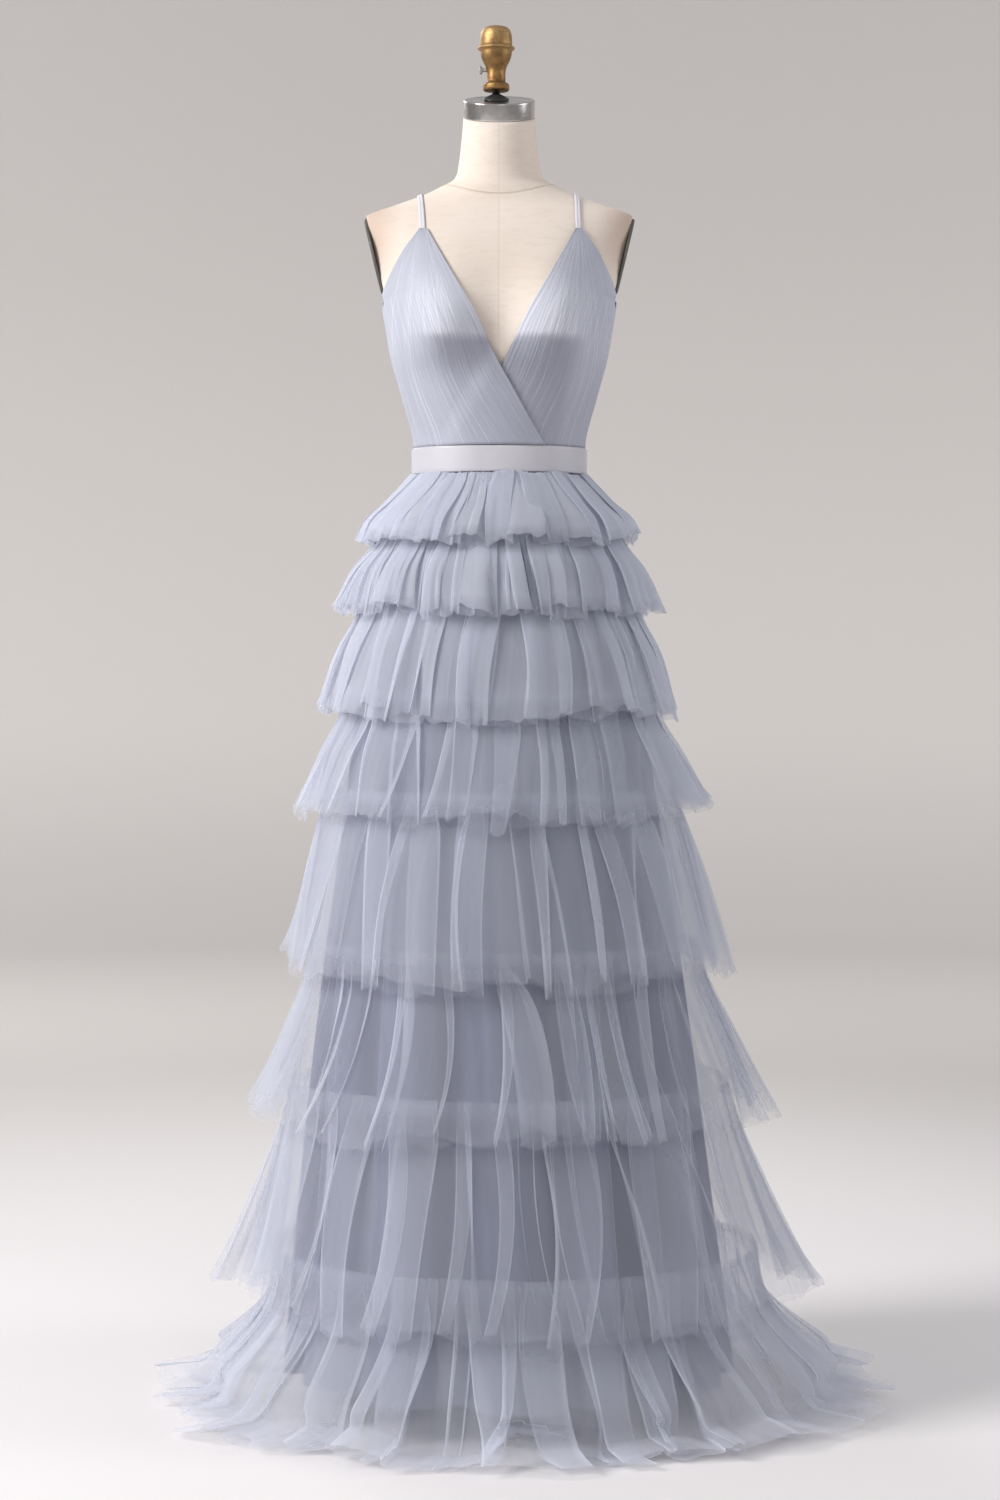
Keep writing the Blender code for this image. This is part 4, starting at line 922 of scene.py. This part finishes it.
def bodice_back(side, finish):
    """A back from its side seam to the zip, on the form's surface, lightly gathered."""
    at_zip = math.pi / 2 - side * (ZIP_HALF + SEAM) / 0.085
    at_side = (0 if side > 0 else math.pi) + side * SEAM / 0.25
    angle = np.linspace(at_side, at_zip, BACK_COLUMNS)[None, :]
    along = np.linspace(0, 1, BACK_ROWS)[:, None]
    low = WAIST_TOP + SEAM
    z = low + (back_top(angle) - low) * along
    angle, along = angle + 0 * z, along + 0 * z
    base = form_point(angle, z)
    out = outward(base)
    share = np.abs(angle - at_side) / abs(at_zip - at_side)
    rise, crest = gathers(share, along, 21 + side, BACK_PLEATS, 1.0)
    base[:, -1, 0] = side * (ZIP_HALF + SEAM)
    grid = base + out * (BODICE_CLEAR + CLOTH + rise * PLEAT_RISE * 0.7)[..., None]
    grid[:, -1, 0] = side * (ZIP_HALF + SEAM)
    grid[:, 0, 1] = SEAM / 2
    grid[0, :, 2] = low
    edges = ("first_row", "last_row", "first_column", "last_column")
    uv = np.stack([share * 0.18, along * 0.19], axis=-1)
    name = "left" if side > 0 else "right"
    # Painted highlight on the pleats' crests.
    masks = {"crest_highlight": extend(crest, edges)}
    obj = surface(f"back_{name}_gathered", tucked(grid, CLOTH, edges), extend(uv, edges), masks=masks)
    dress_piece(obj, finish, [f"bodice_back_{name}"])


def waistband(finish):
    """The satin band: a rounded strip round the waist, with soft level wrinkles."""
    gap = SEAM / 0.11 / 2
    at_zip = (ZIP_HALF + SEAM) / 0.1125
    runs = (
        ("waistband_front", "band_front_satin", -math.pi + gap, -gap, 150, 0.320),
        ("waistband_back_left", "band_back_left_satin", gap, math.pi / 2 - at_zip, 76, 0.157),
        ("waistband_back_right", "band_back_right_satin", math.pi / 2 + at_zip, math.pi - gap, 76, 0.157),
    )
    turn = np.linspace(0, 1, 15)
    fall = WAIST_TOP + (WAIST_BOTTOM - WAIST_TOP) * (0.5 - 0.5 * np.cos(math.pi * turn))
    puff = BAND_WALL * (1 - np.abs(2 * turn - 1) ** 7 * 0.45)
    z = np.concatenate([[WAIST_TOP], fall, [WAIST_BOTTOM]])[:, None]
    clear = np.concatenate([[0.0], puff, [0.0]])[:, None]
    for node, name, start, end, columns, length in runs:
        angle = np.linspace(start, end, columns)[None, :]
        wrinkle = 0.00018 * np.sin(z * 900 + 3 * np.sin(3 * angle)) * np.sin(5 * angle + 1.3)
        size = WAIST_SIZE + BAND_CLEAR + (clear + wrinkle * (clear > 0.002))[..., None]
        grid = np.concatenate([plan_outline(angle, size), (z + 0 * angle)[..., None]], axis=2)
        obj = surface(name, grid)
        dress_piece(obj, finish, [node])


# ------------------------------------------------------------------ straps and zip


def strap_path(form, side):
    """The strap's middle line: where rays fanned round a line in the form meet it."""
    start, end = math.radians(-2), math.radians(181)
    found = []
    for share in np.linspace(0, 1, 240):
        turn = start + (end - start) * share
        x = float(np.interp(share, (0.08, 0.48, 0.95), STRAP_X[side]))
        heading = Vector((0, -math.cos(turn), math.sin(turn)))
        middle = Vector((x, 0.004, 1.470))
        hit, normal, _, _ = form.ray_cast(middle + heading * 0.4, -heading)
        found.append((*hit, *normal))
    found = np.array(found)
    front = CUP_TIP - 0.0030
    back = float(back_top(angle_at(STRAP_X[side][2], 1.42, False))) - 0.0010
    top = int(found[:, 2].argmax())
    keep = np.concatenate([found[:top, 2] > front, found[top:, 2] > back])
    found = found[keep]
    along = np.concatenate([[0], np.cumsum(np.linalg.norm(np.diff(found[:, :3], axis=0), axis=1))])
    at = np.linspace(0, along[-1], 120)
    path = np.stack([np.interp(at, along, found[:, k]) for k in range(6)], axis=1)
    for _ in range(3):
        path[1:-1] = (path[:-2] + 2 * path[1:-1] + path[2:]) / 4
    return path, along[-1]


def straps(form_obj, finish):
    """Flat satin straps: a crowned section with a line of stitching down its middle."""
    form = BVHTree.FromObject(form_obj, bpy.context.evaluated_depsgraph_get())
    # The section from edge to edge: share of the half width, share of the thickness.
    across_at = np.array((-1, -1, -0.93, -0.8, -0.4, -0.12, -0.06, 0, 0.06, 0.12, 0.4, 0.8, 0.93, 1, 1))
    height_at = np.array((0, 0.45, 0.78, 0.92, 1.0, 1.0, 0.86, 0.72, 0.86, 1.0, 1.0, 0.92, 0.78, 0.45, 0))
    for side, name in ((-1, "right"), (1, "left")):
        path, length = strap_path(form, side)
        middle, out = path[:, :3], path[:, 3:]
        along = np.gradient(middle, axis=0)
        along /= np.linalg.norm(along, axis=1, keepdims=True)
        across = np.cross(along, out)
        across /= np.linalg.norm(across, axis=1, keepdims=True)
        out = np.cross(across, along)
        half = STRAP_WIDTH / 2
        grid = (
            middle[:, None, :]
            + across[:, None, :] * (across_at * half)[None, :, None]
            + out[:, None, :] * (STRAP_CLEAR + height_at * STRAP_THICK)[None, :, None]
        )
        line = np.exp(-((across_at / 0.12) ** 2)) + np.exp(-(((np.abs(across_at) - 1) / 0.1) ** 2))
        obj = surface(f"strap_{name}_satin", grid, masks={"line": np.repeat(line[None], len(path), axis=0)})
        dress_piece(obj, finish, [f"strap_{name}"])


def strap_finish():
    """Pale satin with a darker stitched line."""
    made, tree, shader = finish_tree("strap_satin", 0.42, Sheen_Weight=0.2, Specular_IOR_Level=0.4)
    at = object_place(tree)
    line = place(tree, "ShaderNodeAttribute", attribute_name="line").outputs["Fac"]
    rib = noise(tree, at, 1.0, 2.0, (300, 300, 2600))
    base = mixed(tree, ramp(tree, rib, 0.3, 0.7), STRAP_PALE, STRAP_DARK)
    base = mixed(tree, ramp(tree, line, 0.2, 1.0, 0.0, 0.35), base, STRAP_STITCH)
    tree.links.new(base, shader.inputs["Base Color"])
    bump(tree, shader, rib, 0.0002, 0.4)
    return made


def zip_teeth(tape, zinc):
    """The closed zip: two rows of small teeth that meet down the middle, over the tape."""
    count = 62
    z = np.linspace(WAIST_BOTTOM + 0.003, BACK_DIP - 0.016, count)
    surface_y = form_point(math.pi / 2, z)[:, 1] + np.where(z <= WAIST_TOP, 0.0020, 0.0016) + 0.0015
    side = np.where(np.arange(count) % 2 == 0, -1.0, 1.0)
    box = np.array([(x, y, w) for x in (-1, 1) for y in (0, 1) for w in (-1, 1)], float)
    size = np.array((0.00062, 0.0007, 0.00085))
    centre = np.stack([side * 0.00030, surface_y, z], axis=1)
    points = (centre[:, None, :] + box[None] * size).reshape(-1, 3)
    faces = np.array(((0, 1, 3, 2), (4, 6, 7, 5), (0, 4, 5, 1), (2, 3, 7, 6), (0, 2, 6, 4), (1, 5, 7, 3)))
    faces = (faces[None] + 8 * np.arange(count)[:, None, None]).reshape(-1, 4)
    mesh = bpy.data.meshes.new("zip_teeth")
    mesh.from_pydata(points.tolist(), [], faces.tolist())
    mesh.update()
    obj = bpy.data.objects.new("zip_teeth", mesh)
    bpy.context.scene.collection.objects.link(obj)
    join_doubles(obj, 0.000001)
    obj.data.materials.append(zinc)
    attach(obj, GOWN)


# ------------------------------------------------------------------ the skirt


def ring_points(shares, size, drift, offset):
    """Points round a plan outline, at shares of its length from the middle of the back,
    moved out square to it by offset; the angles they lie at; and that square way."""
    turn = np.linspace(math.pi / 2, math.pi / 2 + TURN, 1441)
    line = plan_outline(turn, size)
    length = np.concatenate([[0], np.cumsum(np.linalg.norm(np.diff(line, axis=0), axis=1))])
    angle = np.interp(shares * length[-1], length, turn)
    depth = np.where(np.sin(angle) < 0, size[1], size[2])
    square = np.stack([np.cos(angle) / size[0], np.sin(angle) / depth], axis=1)
    square /= np.linalg.norm(square, axis=1, keepdims=True)
    return plan_outline(angle, size, drift) + square * offset[:, None], angle, square


def girth(size):
    """Length round a plan outline, by Ramanujan's rule for each half."""
    total = 0.0
    for depth in (size[1], size[2]):
        h = ((size[0] - depth) / (size[0] + depth)) ** 2
        total += math.pi * (size[0] + depth) * (1 + 3 * h / (10 + math.sqrt(4 - 3 * h))) / 2
    return total


def uneven_folds(s, count, seed, spread):
    """Folds of uneven width round s, 0 to 1: the phase, one turn a fold, and a random
    value for each fold, eased from one to the next."""
    rng = np.random.default_rng(seed)
    ends = np.concatenate([[0], np.cumsum(rng.uniform(1 - spread, 1 + spread, count))])
    values = rng.uniform(-1, 1, count)
    middles = (ends[:-1] + ends[1:]) / 2 / ends[-1]
    phase = TURN * np.interp(s, ends / ends[-1], np.arange(count + 1.0))
    return phase, np.interp(s, middles, values, period=1.0)


def folded_cloth(seed, down, girths, cloth, columns, waves, shift):
    """How gathered cloth runs, row by row: how far along the ring each point lies, 0 to
    1, how far it stands out, 0 to 1, and how edge-on it stands. The cloth's direction
    swings either way of the ring's: in fine gathers at the top, and in broad, flat
    faced, uneven folds towards the hem. The swing is as strong as takes up the cloth's
    whole length in the ring's girth. Folds stand out in flutes too, and each leans and
    bows along the ring on its way down."""
    s = np.arange(columns) / columns
    v = down[:, None]
    fine, middle, broad = (max(8, round(cloth / size)) for size in waves)
    swing = np.zeros((len(down), columns))
    sizes = (
        (fine, 0.25 * (1 - v) ** 6, seed + 1 + shift, 0.35, 1.0),
        (middle, 0.16 * (1 - v) ** 2, seed + 2 + shift, 0.6, 3.0),
        (broad, 1.0, seed + 3 + 7 * shift, 0.92, 6.0),
    )
    for count, strength, key, spread, flat in sizes:
        phase, size = uneven_folds(s, count, key, spread)
        wave = np.sin(phase)
        swing = swing + strength * (1 + 0.85 * size) * np.sign(wave) * np.abs(wave) ** flat
    low, high = np.full((len(down), 1), 0.05), np.full((len(down), 1), 60.0)
    wanted = (np.asarray(girths) / cloth)[:, None]
    for _ in range(28):
        gain = (low + high) / 2
        taken = np.cos(MOST_LEAN * np.tanh(gain * swing / MOST_LEAN)).mean(axis=1, keepdims=True)
        low, high = np.where(taken > wanted, gain, low), np.where(taken > wanted, high, gain)
    lean = MOST_LEAN * np.tanh(low * swing / MOST_LEAN)
    lean = lean + FOLD_STRAY * uneven_folds(s, 2 * broad, seed + 31 + shift, 0.6)[1]
    along = np.cumsum(np.cos(lean), axis=1)
    strays = pass_band(along / along[:, -1:] - s, broad * 0.35, 0.0)
    turns = pass_band(np.cumsum(np.sin(lean), axis=1), broad * 0.45, 0.05)
    bottom, top = np.percentile(turns, (3, 97), axis=1, keepdims=True)
    turns = np.clip((turns - bottom) / (top - bottom), -0.08, 1.08)
    phase, reach = uneven_folds(s, round(0.8 * broad), seed + 60 + shift, 0.7)
    flutes = 0.5 + 0.5 * np.sin(phase) * (0.75 + 0.25 * reach)
    fluted = 0.25 + 0.45 * ease(v)
    out = (turns + (flutes - turns) * fluted) * (1 + 0.40 * v * reach)
    over, bow = (uneven_folds(s, broad, seed + key + shift, 0.7)[1] for key in (45, 47))
    slant = (FOLD_SLANT * v * over + FOLD_BOW * np.sin(math.pi * v) * bow) / broad
    slant = slant + 0.005 * v * wander(s, seed + 40 + shift, 3, 12, 0.3)
    edge_on = ease((np.abs(np.sin(lean)) - EDGE_ON_FROM) / EDGE_ON_OVER)
    edge_on = edge_on * (0.5 + 0.5 * ease(v / 0.25))
    return s + strays + slant, out, edge_on


def tier_starts():
    """Each tier's sewn edge and shoulder, as heights and inner outlines."""
    edge = (WAIST_BOTTOM - SEAM, WAIST_SIZE + TIER_CLEAR)
    shoulder = (SHOULDER_Z, SHOULDER_SIZE)
    starts = [(edge, shoulder)]
    for hem, half_width, front, back, depth, overhang in TIERS[:, :6]:
        troughs = np.array((half_width, front, back)) - depth - TULLE
        share = (shoulder[0] - hem - overhang) / (shoulder[0] - hem + HEM_RISE + 0.6 * HEM_SAG)
        at_seam = (shoulder[1] + (troughs - shoulder[1]) * share) * 0.997
        edge = (hem + overhang, at_seam - TULLE - SEAM)
        shoulder = (hem, troughs - TULLE - SHOULDER_FOLD - NESTING)
        starts.append((edge, shoulder))
    return starts


def layer_grid(profile, columns, cloth, seed, shift, lift, hem_wave, waves, floor):
    """A layer of a tier: its points, cloth place, edge-on share, distance down from the
    seam, in metres, and normals. profile's rows give height, half width, front, back,
    fold depth and how far the folds lean up from level; the cloth's folds stand on it.
    Threads scatter light whichever way they run, so the normals lie between the folds'
    and the plain tier's."""
    heights, sizes, depths, leans = profile[:, 0], profile[:, 1:4], profile[:, 4], profile[:, 5]
    steps = np.concatenate([[0], np.cumsum(np.hypot(np.diff(heights), np.diff(sizes[:, 0])))])
    seam_row = int(np.argmin(depths))
    steps = steps - steps[seam_row]
    down = np.clip(steps / steps[-1], 0, 1)
    girths = [girth(size + depth / 2) for size, depth in zip(sizes, depths)]
    along, out, edge_on = folded_cloth(seed, down, girths, cloth, columns, waves, shift)
    s = np.arange(columns) / columns
    swell = wander(s, seed + 200, 2, 9)
    ragged = wander(s, seed + 210 + shift, 12, 90, 0.25)
    slow = wander(s, seed + 230 + shift, 3, 14, 0.5)
    tongues = uneven_folds(s, 46, seed + 240 + shift, 0.8)[1]
    pucker = 0.0016 * wander(s, seed + 270 + shift, 60, 220, 0.1) + 0.0025 * wander(s, seed + 280, 4, 12, 0.2)
    tilt = np.arctan2(np.maximum(np.gradient(sizes[:, 0]), 0), np.maximum(-np.gradient(heights), 1e-5))
    rows, plain = [], []
    for k, w in enumerate(down):
        offset = lift + out[k] * depths[k]
        level = offset * math.cos(leans[k]) + 0.010 * swell * w**1.5
        if floor:
            spread = 0.35 * ragged + 0.5 * slow + 0.9 * tongues
            level = level + hem_wave * spread * ease((w - 0.55) / 0.45)
        flat, angle, square = ring_points(along[k], sizes[k], float(side_drift(heights[k])), level)
        plain.append(np.column_stack([square * math.cos(tilt[k]), np.full(columns, math.sin(tilt[k]))]))
        z = heights[k] + offset * math.sin(leans[k]) + pucker * math.exp(-((steps[k] / 0.012) ** 2))
        if floor:
            z = np.maximum(z, 0.0006) + 0.010 * ease((w - 0.8) / 0.2) * np.clip(ragged, 0, 1) ** 2
        else:
            hem = HEM_RISE * np.cos(2 * angle) + hem_wave * (0.5 * ragged + slow) + 0.008 * (out[k] - 0.5)
            hem = hem + 0.007 * shift
            z = z + w**4 * hem
        rows.append(np.column_stack([flat, np.broadcast_to(z, s.shape)]))
    uv = np.stack(np.meshgrid(np.linspace(0, cloth, columns + 1), steps), axis=-1)
    grid, plain = np.array(rows), np.array(plain)
    own = outward(grid, around=True)
    same = np.where((own * plain).sum(axis=2, keepdims=True) < 0, -1.0, 1.0)
    normals = own * (1 - SCATTER) + plain * same * SCATTER
    normals /= np.linalg.norm(normals, axis=2, keepdims=True)
    return grid, uv, edge_on, steps, normals


def cloth_masks(edge_on, steps, seed, opacity, covered, floor):
    """How much the tulle covers, and its tone, 0 to 1. It covers more where a fold stands
    edge-on and in the puckers along its seam, less where the tier above lies over it,
    as far down as covered, and a little unevenly from fold to fold and thread to
    thread. It thins out towards the raw hem. Its tone is pale, with a painted sheen on
    the folds' edges, and painted shade in the puckers and just below the tier above."""
    columns = edge_on.shape[1]
    s = np.arange(columns) / columns
    threads = np.random.default_rng(seed + 300).uniform(0, 1, columns)
    threads = 0.5 * threads + 0.25 * (np.roll(threads, 1) + np.roll(threads, -1))
    panels = uneven_folds(s, 60, seed + 310, 0.8)[1]
    pucker = np.exp(-((steps / 0.0035) ** 2))[:, None]
    pucker = pucker * (0.5 + 0.3 * wander(s, seed + 250, 20, 160, 0.1))
    pucker = pucker * ease(0.5 + 1.2 * wander(s, seed + 260, 4, 16, 0.2))
    under = 1 - ease((steps[:, None] - 0.3 * covered) / (0.012 + 1.2 * covered))
    under = under * (covered > 0)
    streaks = uneven_folds(s, columns // 6, seed + 320, 0.8)[1]
    near_hem = ease((steps[:, None] / steps[-1] - HEM_THINS_FROM) / (1 - HEM_THINS_FROM))
    hem = 1 - (FLOOR_HEM_THINNING if floor else HEM_THINNING) * near_hem
    uneven = 1 + COVER_FOLDS * panels + COVER_THREADS * threads + COVER_STREAKS * streaks
    cover = opacity * uneven * (1 - COVER_UNDER * under)
    cover = np.clip((cover + COVER_EDGE_ON * edge_on) * hem + COVER_PUCKER * pucker, 0, MOST_COVER)
    # Painted sheen on edge-on folds; painted shade in the puckers and below the tier above.
    tone = PALENESS + EDGE_ON_PAINTED_SHEEN * edge_on - PUCKER_PAINTED_SHADE * np.maximum(pucker, UNDER_TIER_PAINTED_SHADOW * under)
    return {"cover": cover, "tone": tone + 0 * cover}


def frilled(edge, rows):
    """Adds a short frill above the gathering stitches to a tier's rows, which start with
    height, half width, front, back, fold depth and lean at the sewn edge."""
    steps = ((0.0090, 0.0040, 0.0052), (0.0050, 0.0036, 0.0040))  # rise, inwards, depth
    frill = np.array([(edge[0] + rise, *(edge[1] - inwards), depth, 0.0) for rise, inwards, depth in steps])
    return np.concatenate([frill, rows])


def tiers(finish):
    """The eight gathered tiers, each an outer and an inner layer of tulle. A tier runs
    on a smooth curve through knots: its sewn edge, its shoulder, where it puffs out, and
    its hem."""
    for index, (edge, shoulder) in enumerate(tier_starts()):
        node, seed = f"tier_{index + 1}", 1000 * (index + 1)
        floor = index == len(TIERS)
        first = index == 0
        top = (edge[0], *(edge[1] - (0 if first else 0.0025)), 0.0036 if first else 0.0030, 0.0)
        waist = (shoulder[0], *shoulder[1], 0.0100 if first else 0.0070, 0.0)
        if floor:
            fullness, columns, rows, opacity = FLOOR_CLOTH
            knots = np.array([top, waist] + [(*row, lean) for row, lean in zip(FLOOR_TIER, FLOOR_LEAN)])
        else:
            hem, half_width, front, back, depth, _, fullness, columns, rows, opacity = TIERS[index]
            troughs = np.array((half_width, front, back)) - depth - TULLE
            puff = PUFF[index]
            puffed = shoulder[1] + (troughs - shoulder[1]) * puff
            puff_z = shoulder[0] + (hem - shoulder[0]) * PUFF_AT
            middle = (puff_z, *puffed, waist[4] + (depth - waist[4]) * puff, 0.0)
            knots = np.array([top, waist, middle, (hem, *troughs, depth, 0.0)])
        steps = np.concatenate([[0], np.cumsum(np.hypot(np.diff(knots[:, 0]), np.diff(knots[:, 1])))])
        at = np.sort(np.append(np.linspace(0, steps[-1], int(rows)), 0.0035))
        profile = np.stack([smooth(at, steps, knots[:, k]) for k in range(6)], axis=1)
        profile[:, 0] = np.maximum(profile[:, 0], 0.0010)
        if not first:
            profile = frilled(edge, profile)
        round_hem = girth(profile[-1, 1:4] + profile[-1, 4] / 2)
        grow = 1 + 0.05 * index
        covered = 0.0 if first else edge[0] - shoulder[0]
        hem_wave = FLOOR_WAVE if floor else HEM_WAVE + HEM_WAVE_STEP * index
        layers = (("outer", 0, 0.0012, 1.0), ("inner", 1, -0.0008, INNER_GATHERING))
        for layer, shift, lift, gathering in layers:
            cloth = round_hem * fullness * gathering
            waves = np.array((FINE_GATHER * grow, MIDDLE_GATHER * grow, FOLD_CLOTH[index])) * gathering
            grid, uv, edge_on, along, normals = layer_grid(
                profile, int(columns * gathering), cloth, seed, shift, lift, hem_wave, waves, floor
            )
            layer_opacity = opacity * INNER_OPACITY**shift
            masks = cloth_masks(edge_on, along, seed + shift, layer_opacity, covered, floor)
            obj = surface(f"{node}_{layer}", grid, uv, around=True, masks=masks, normals=normals)
            dress_piece(obj, finish, [node])


def underskirt(finish):
    """The satin skirt under the tiers, front and back, falling in deep uneven flutes
    that start one by one below the hips and widen towards the hem. Its sides hang a
    little inside the outline, so that the net has room to stand off them."""
    table = UNDERSKIRT[::-1]
    z = np.linspace(UNDERSKIRT[0, 0], UNDERSKIRT[-1, 0], 70)[:, None]
    down = (UNDERSKIRT[0, 0] - z) / (UNDERSKIRT[0, 0] - UNDERSKIRT[-1, 0])
    gap = SEAM / 0.11 / 2
    for name, start, key in (("front", -math.pi, 71), ("back", 0.0, 74)):
        angle = np.linspace(start + gap, start + math.pi - gap, 260)[None, :]
        size = np.stack([np.interp(z, table[:, 0], table[:, k]) for k in (1, 2, 3)], axis=-1)
        share = (angle[0] - start) / math.pi
        phase, reach = uneven_folds(share, FLUTES, key, 0.5)
        flute = 0.5 - 0.5 * np.cos(phase + 0.5 * np.sin(phase))
        strength = ease((down - 0.18 - 0.10 * reach) / 0.55) * (0.75 + 0.25 * reach)
        rise = 0.0007 + (flute - 0.62) * FLUTE_DEPTH * strength
        rise = rise + 0.004 * wander(share, key + 1, 12, 40) * down
        rise = rise * ease(np.minimum(share, 1 - share) / 0.03)
        rise = rise - UNDERSKIRT_DRAWN_IN * np.cos(angle) ** 2 * ease(down / 0.6)
        flat = plan_outline(angle, size + rise[..., None], side_drift(z) * 0.5)
        grid = np.concatenate([flat, (z + 0 * angle)[..., None]], axis=2)
        obj = surface(f"underskirt_{name}_satin", grid)
        dress_piece(obj, finish, [f"underskirt_{name}"])


# ------------------------------------------------------------------ studio


def studio():
    """A round floor that curves up into a wall, open above, with painted light falloff, darker out over the
    floor and up the wall; soft light from the left.
    """
    made, tree, shader = finish_tree("backdrop", 0.95, Specular_IOR_Level=0.0)
    at = object_place(tree)
    split = place(tree, "ShaderNodeSeparateXYZ", {0: at})
    level = place(tree, "ShaderNodeVectorMath", {0: at, 1: (1, 1, 0)}, operation="MULTIPLY").outputs[0]
    reach = place(tree, "ShaderNodeVectorMath", {0: level}, operation="LENGTH")
    # Painted light falloff: paler near the form, darker farther out and higher up.
    painted_floor_falloff = ramp(tree, reach.outputs["Value"], 0.9, 3.6)
    base = mixed(tree, painted_floor_falloff, FLOOR_NEAR, FLOOR_FAR)
    base = mixed(tree, ramp(tree, split.outputs[2], 0.0, 0.8), base, WALL_LOW)
    painted_wall_falloff = ramp(tree, split.outputs[2], 0.4, 3.9)
    base = mixed(tree, painted_wall_falloff, base, WALL_HIGH)
    tree.links.new(base, shader.inputs["Base Color"])
    turn = np.linspace(0, math.pi / 2, 24)
    flat, curve, top, sides = 6.5, 2.8, 6.5, 128  # floor's radius, curve's, wall's height
    radius = np.concatenate(
        [np.linspace(0.01, flat, 24), flat + curve * np.sin(turn), np.full(6, flat + curve)]
    )
    height = np.concatenate([np.zeros(24), curve - curve * np.cos(turn), np.linspace(3.0, top, 6)])
    angle = np.linspace(0, TURN, sides, endpoint=False)
    plan = [radius[:, None] * np.cos(angle), radius[:, None] * np.sin(angle)]
    grid = np.stack([*plan, np.repeat(height[:, None], sides, axis=1)], axis=-1)
    bowl = surface("backdrop", grid, around=True, inside_out=True)
    bowl.data.materials.append(made)

    world = bpy.data.worlds.new("studio")
    bpy.context.scene.world = world
    world.use_nodes = True
    sky = world.node_tree.nodes["Background"]
    sky.inputs["Color"].default_value = (0.98, 0.98, 1.0, 1)
    sky.inputs["Strength"].default_value = 0.42

    # Name, place, aim, diameter, power and tint of each round lamp.
    lamps = (
        ("key", (-4.4, -2.1, 3.5), (0, 0, 0.95), 2.4, 275, (1.0, 0.985, 0.97)),
        ("fill", (1.0, -5.2, 3.2), (0, 0, 0.9), 2.4, 30, (0.97, 0.98, 1.0)),
        ("side", (4.4, -0.6, 2.6), (0, 0, 0.9), 2.4, 52, (0.97, 0.98, 1.0)),
        ("back", (-2.4, 3.8, 3.6), (0, 0, 0.8), 2.2, 50, (1.0, 0.99, 0.98)),
        ("wall_left", (-3.2, 3.6, 4.2), (-2.2, 9.0, 1.6), 3.0, 166, (1.0, 0.99, 0.98)),
        ("wall_right", (3.2, 3.6, 4.2), (2.2, 9.0, 1.6), 3.0, 116, (1.0, 0.99, 0.98)),
    )
    for name, place_at, aim, size, power, tint in lamps:
        light = bpy.data.lights.new(name, "AREA")
        light.shape, light.size = "DISK", size
        light.energy, light.color = power, tint
        lamp = bpy.data.objects.new(name, light)
        lamp.location = place_at
        lamp.rotation_mode = "QUATERNION"
        lamp.rotation_quaternion = (Vector(aim) - Vector(place_at)).to_track_quat("-Z", "Y")
        lamp.visible_camera = False
        bpy.context.scene.collection.objects.link(lamp)


def camera():
    """Level with the hips, 4 m in front, with a long lens; the frame lies a little
    lower than the lens's axis."""
    made = bpy.data.cameras.new("camera")
    made.lens, made.sensor_width, made.sensor_fit = 73.85, 36.0, "AUTO"
    made.shift_x, made.shift_y = 0.0005, -0.0547
    obj = bpy.data.objects.new("camera", made)
    obj.location = (0, -4.0, 0.95)
    obj.rotation_euler = (math.pi / 2, 0, 0)
    bpy.context.scene.collection.objects.link(obj)
    bpy.context.scene.camera = obj


# ------------------------------------------------------------------ all together


def main():
    """Builds every piece, dresses the plain ones that stay, and sets the studio."""
    bpy.context.scene.view_settings.view_transform = "Standard"
    bpy.context.scene.cycles.transparent_max_bounces = 28
    bpy.context.scene.cycles.diffuse_bounces = 2
    bpy.context.scene.cycles.debug_use_spatial_splits = True
    linen = linen_finish()
    plate = metal_finish(
        "painted_plate", tone=(0.16, 0.16, 0.135), dark=(0.10, 0.10, 0.085),
        roughness=0.5, grain=240, depth=0.0002, stretch=(1, 1, 1), metallic=0.2,
    )
    steel = metal_finish(
        "steel", tone=(0.66, 0.645, 0.64), dark=(0.56, 0.55, 0.545),
        roughness=0.22, grain=900, depth=0.00008, stretch=(0.05, 0.05, 3),
    )
    black = metal_finish(
        "iron", tone=(0.03, 0.03, 0.03), dark=(0.05, 0.05, 0.05),
        roughness=0.4, grain=200, depth=0.0002, stretch=(1, 1, 1), metallic=0.3,
    )
    zinc = metal_finish(
        "zinc", tone=(0.60, 0.60, 0.58), dark=(0.45, 0.45, 0.44),
        roughness=0.32, grain=600, depth=0.0002, stretch=(1, 1, 1),
    )
    gilt = gilt_finish()
    gathered = bodice_finish()
    band = satin_finish(
        "band_satin", tone=(0.66, 0.65, 0.70), dark=(0.60, 0.59, 0.645), roughness=0.40, sheen=0.25
    )
    lining = satin_finish(
        "lining", tone=(0.145, 0.160, 0.245), dark=(0.115, 0.128, 0.200), roughness=0.42, sheen=0.60
    )
    torso = linen_torso(linen)
    arm_plates(plate)
    neck_hardware(steel, black, gilt, zinc)
    bodice_front(-1, True, gathered)
    bodice_front(1, False, gathered)
    for side in (-1, 1):
        bodice_back(side, gathered)
    waistband(band)
    straps(torso, strap_finish())
    zip_teeth(lining, zinc)
    underskirt(lining)
    tiers(tulle_finish())
    for node, finish in (
        ("pole", steel), ("pole_socket", black), ("foot", black), ("foot_hub", black),
        ("zip_coil", lining), ("zip_slider", zinc), ("zip_pull", zinc),
    ):
        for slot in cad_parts[node].material_slots:
            slot.material = finish
    studio()
    camera()


main()
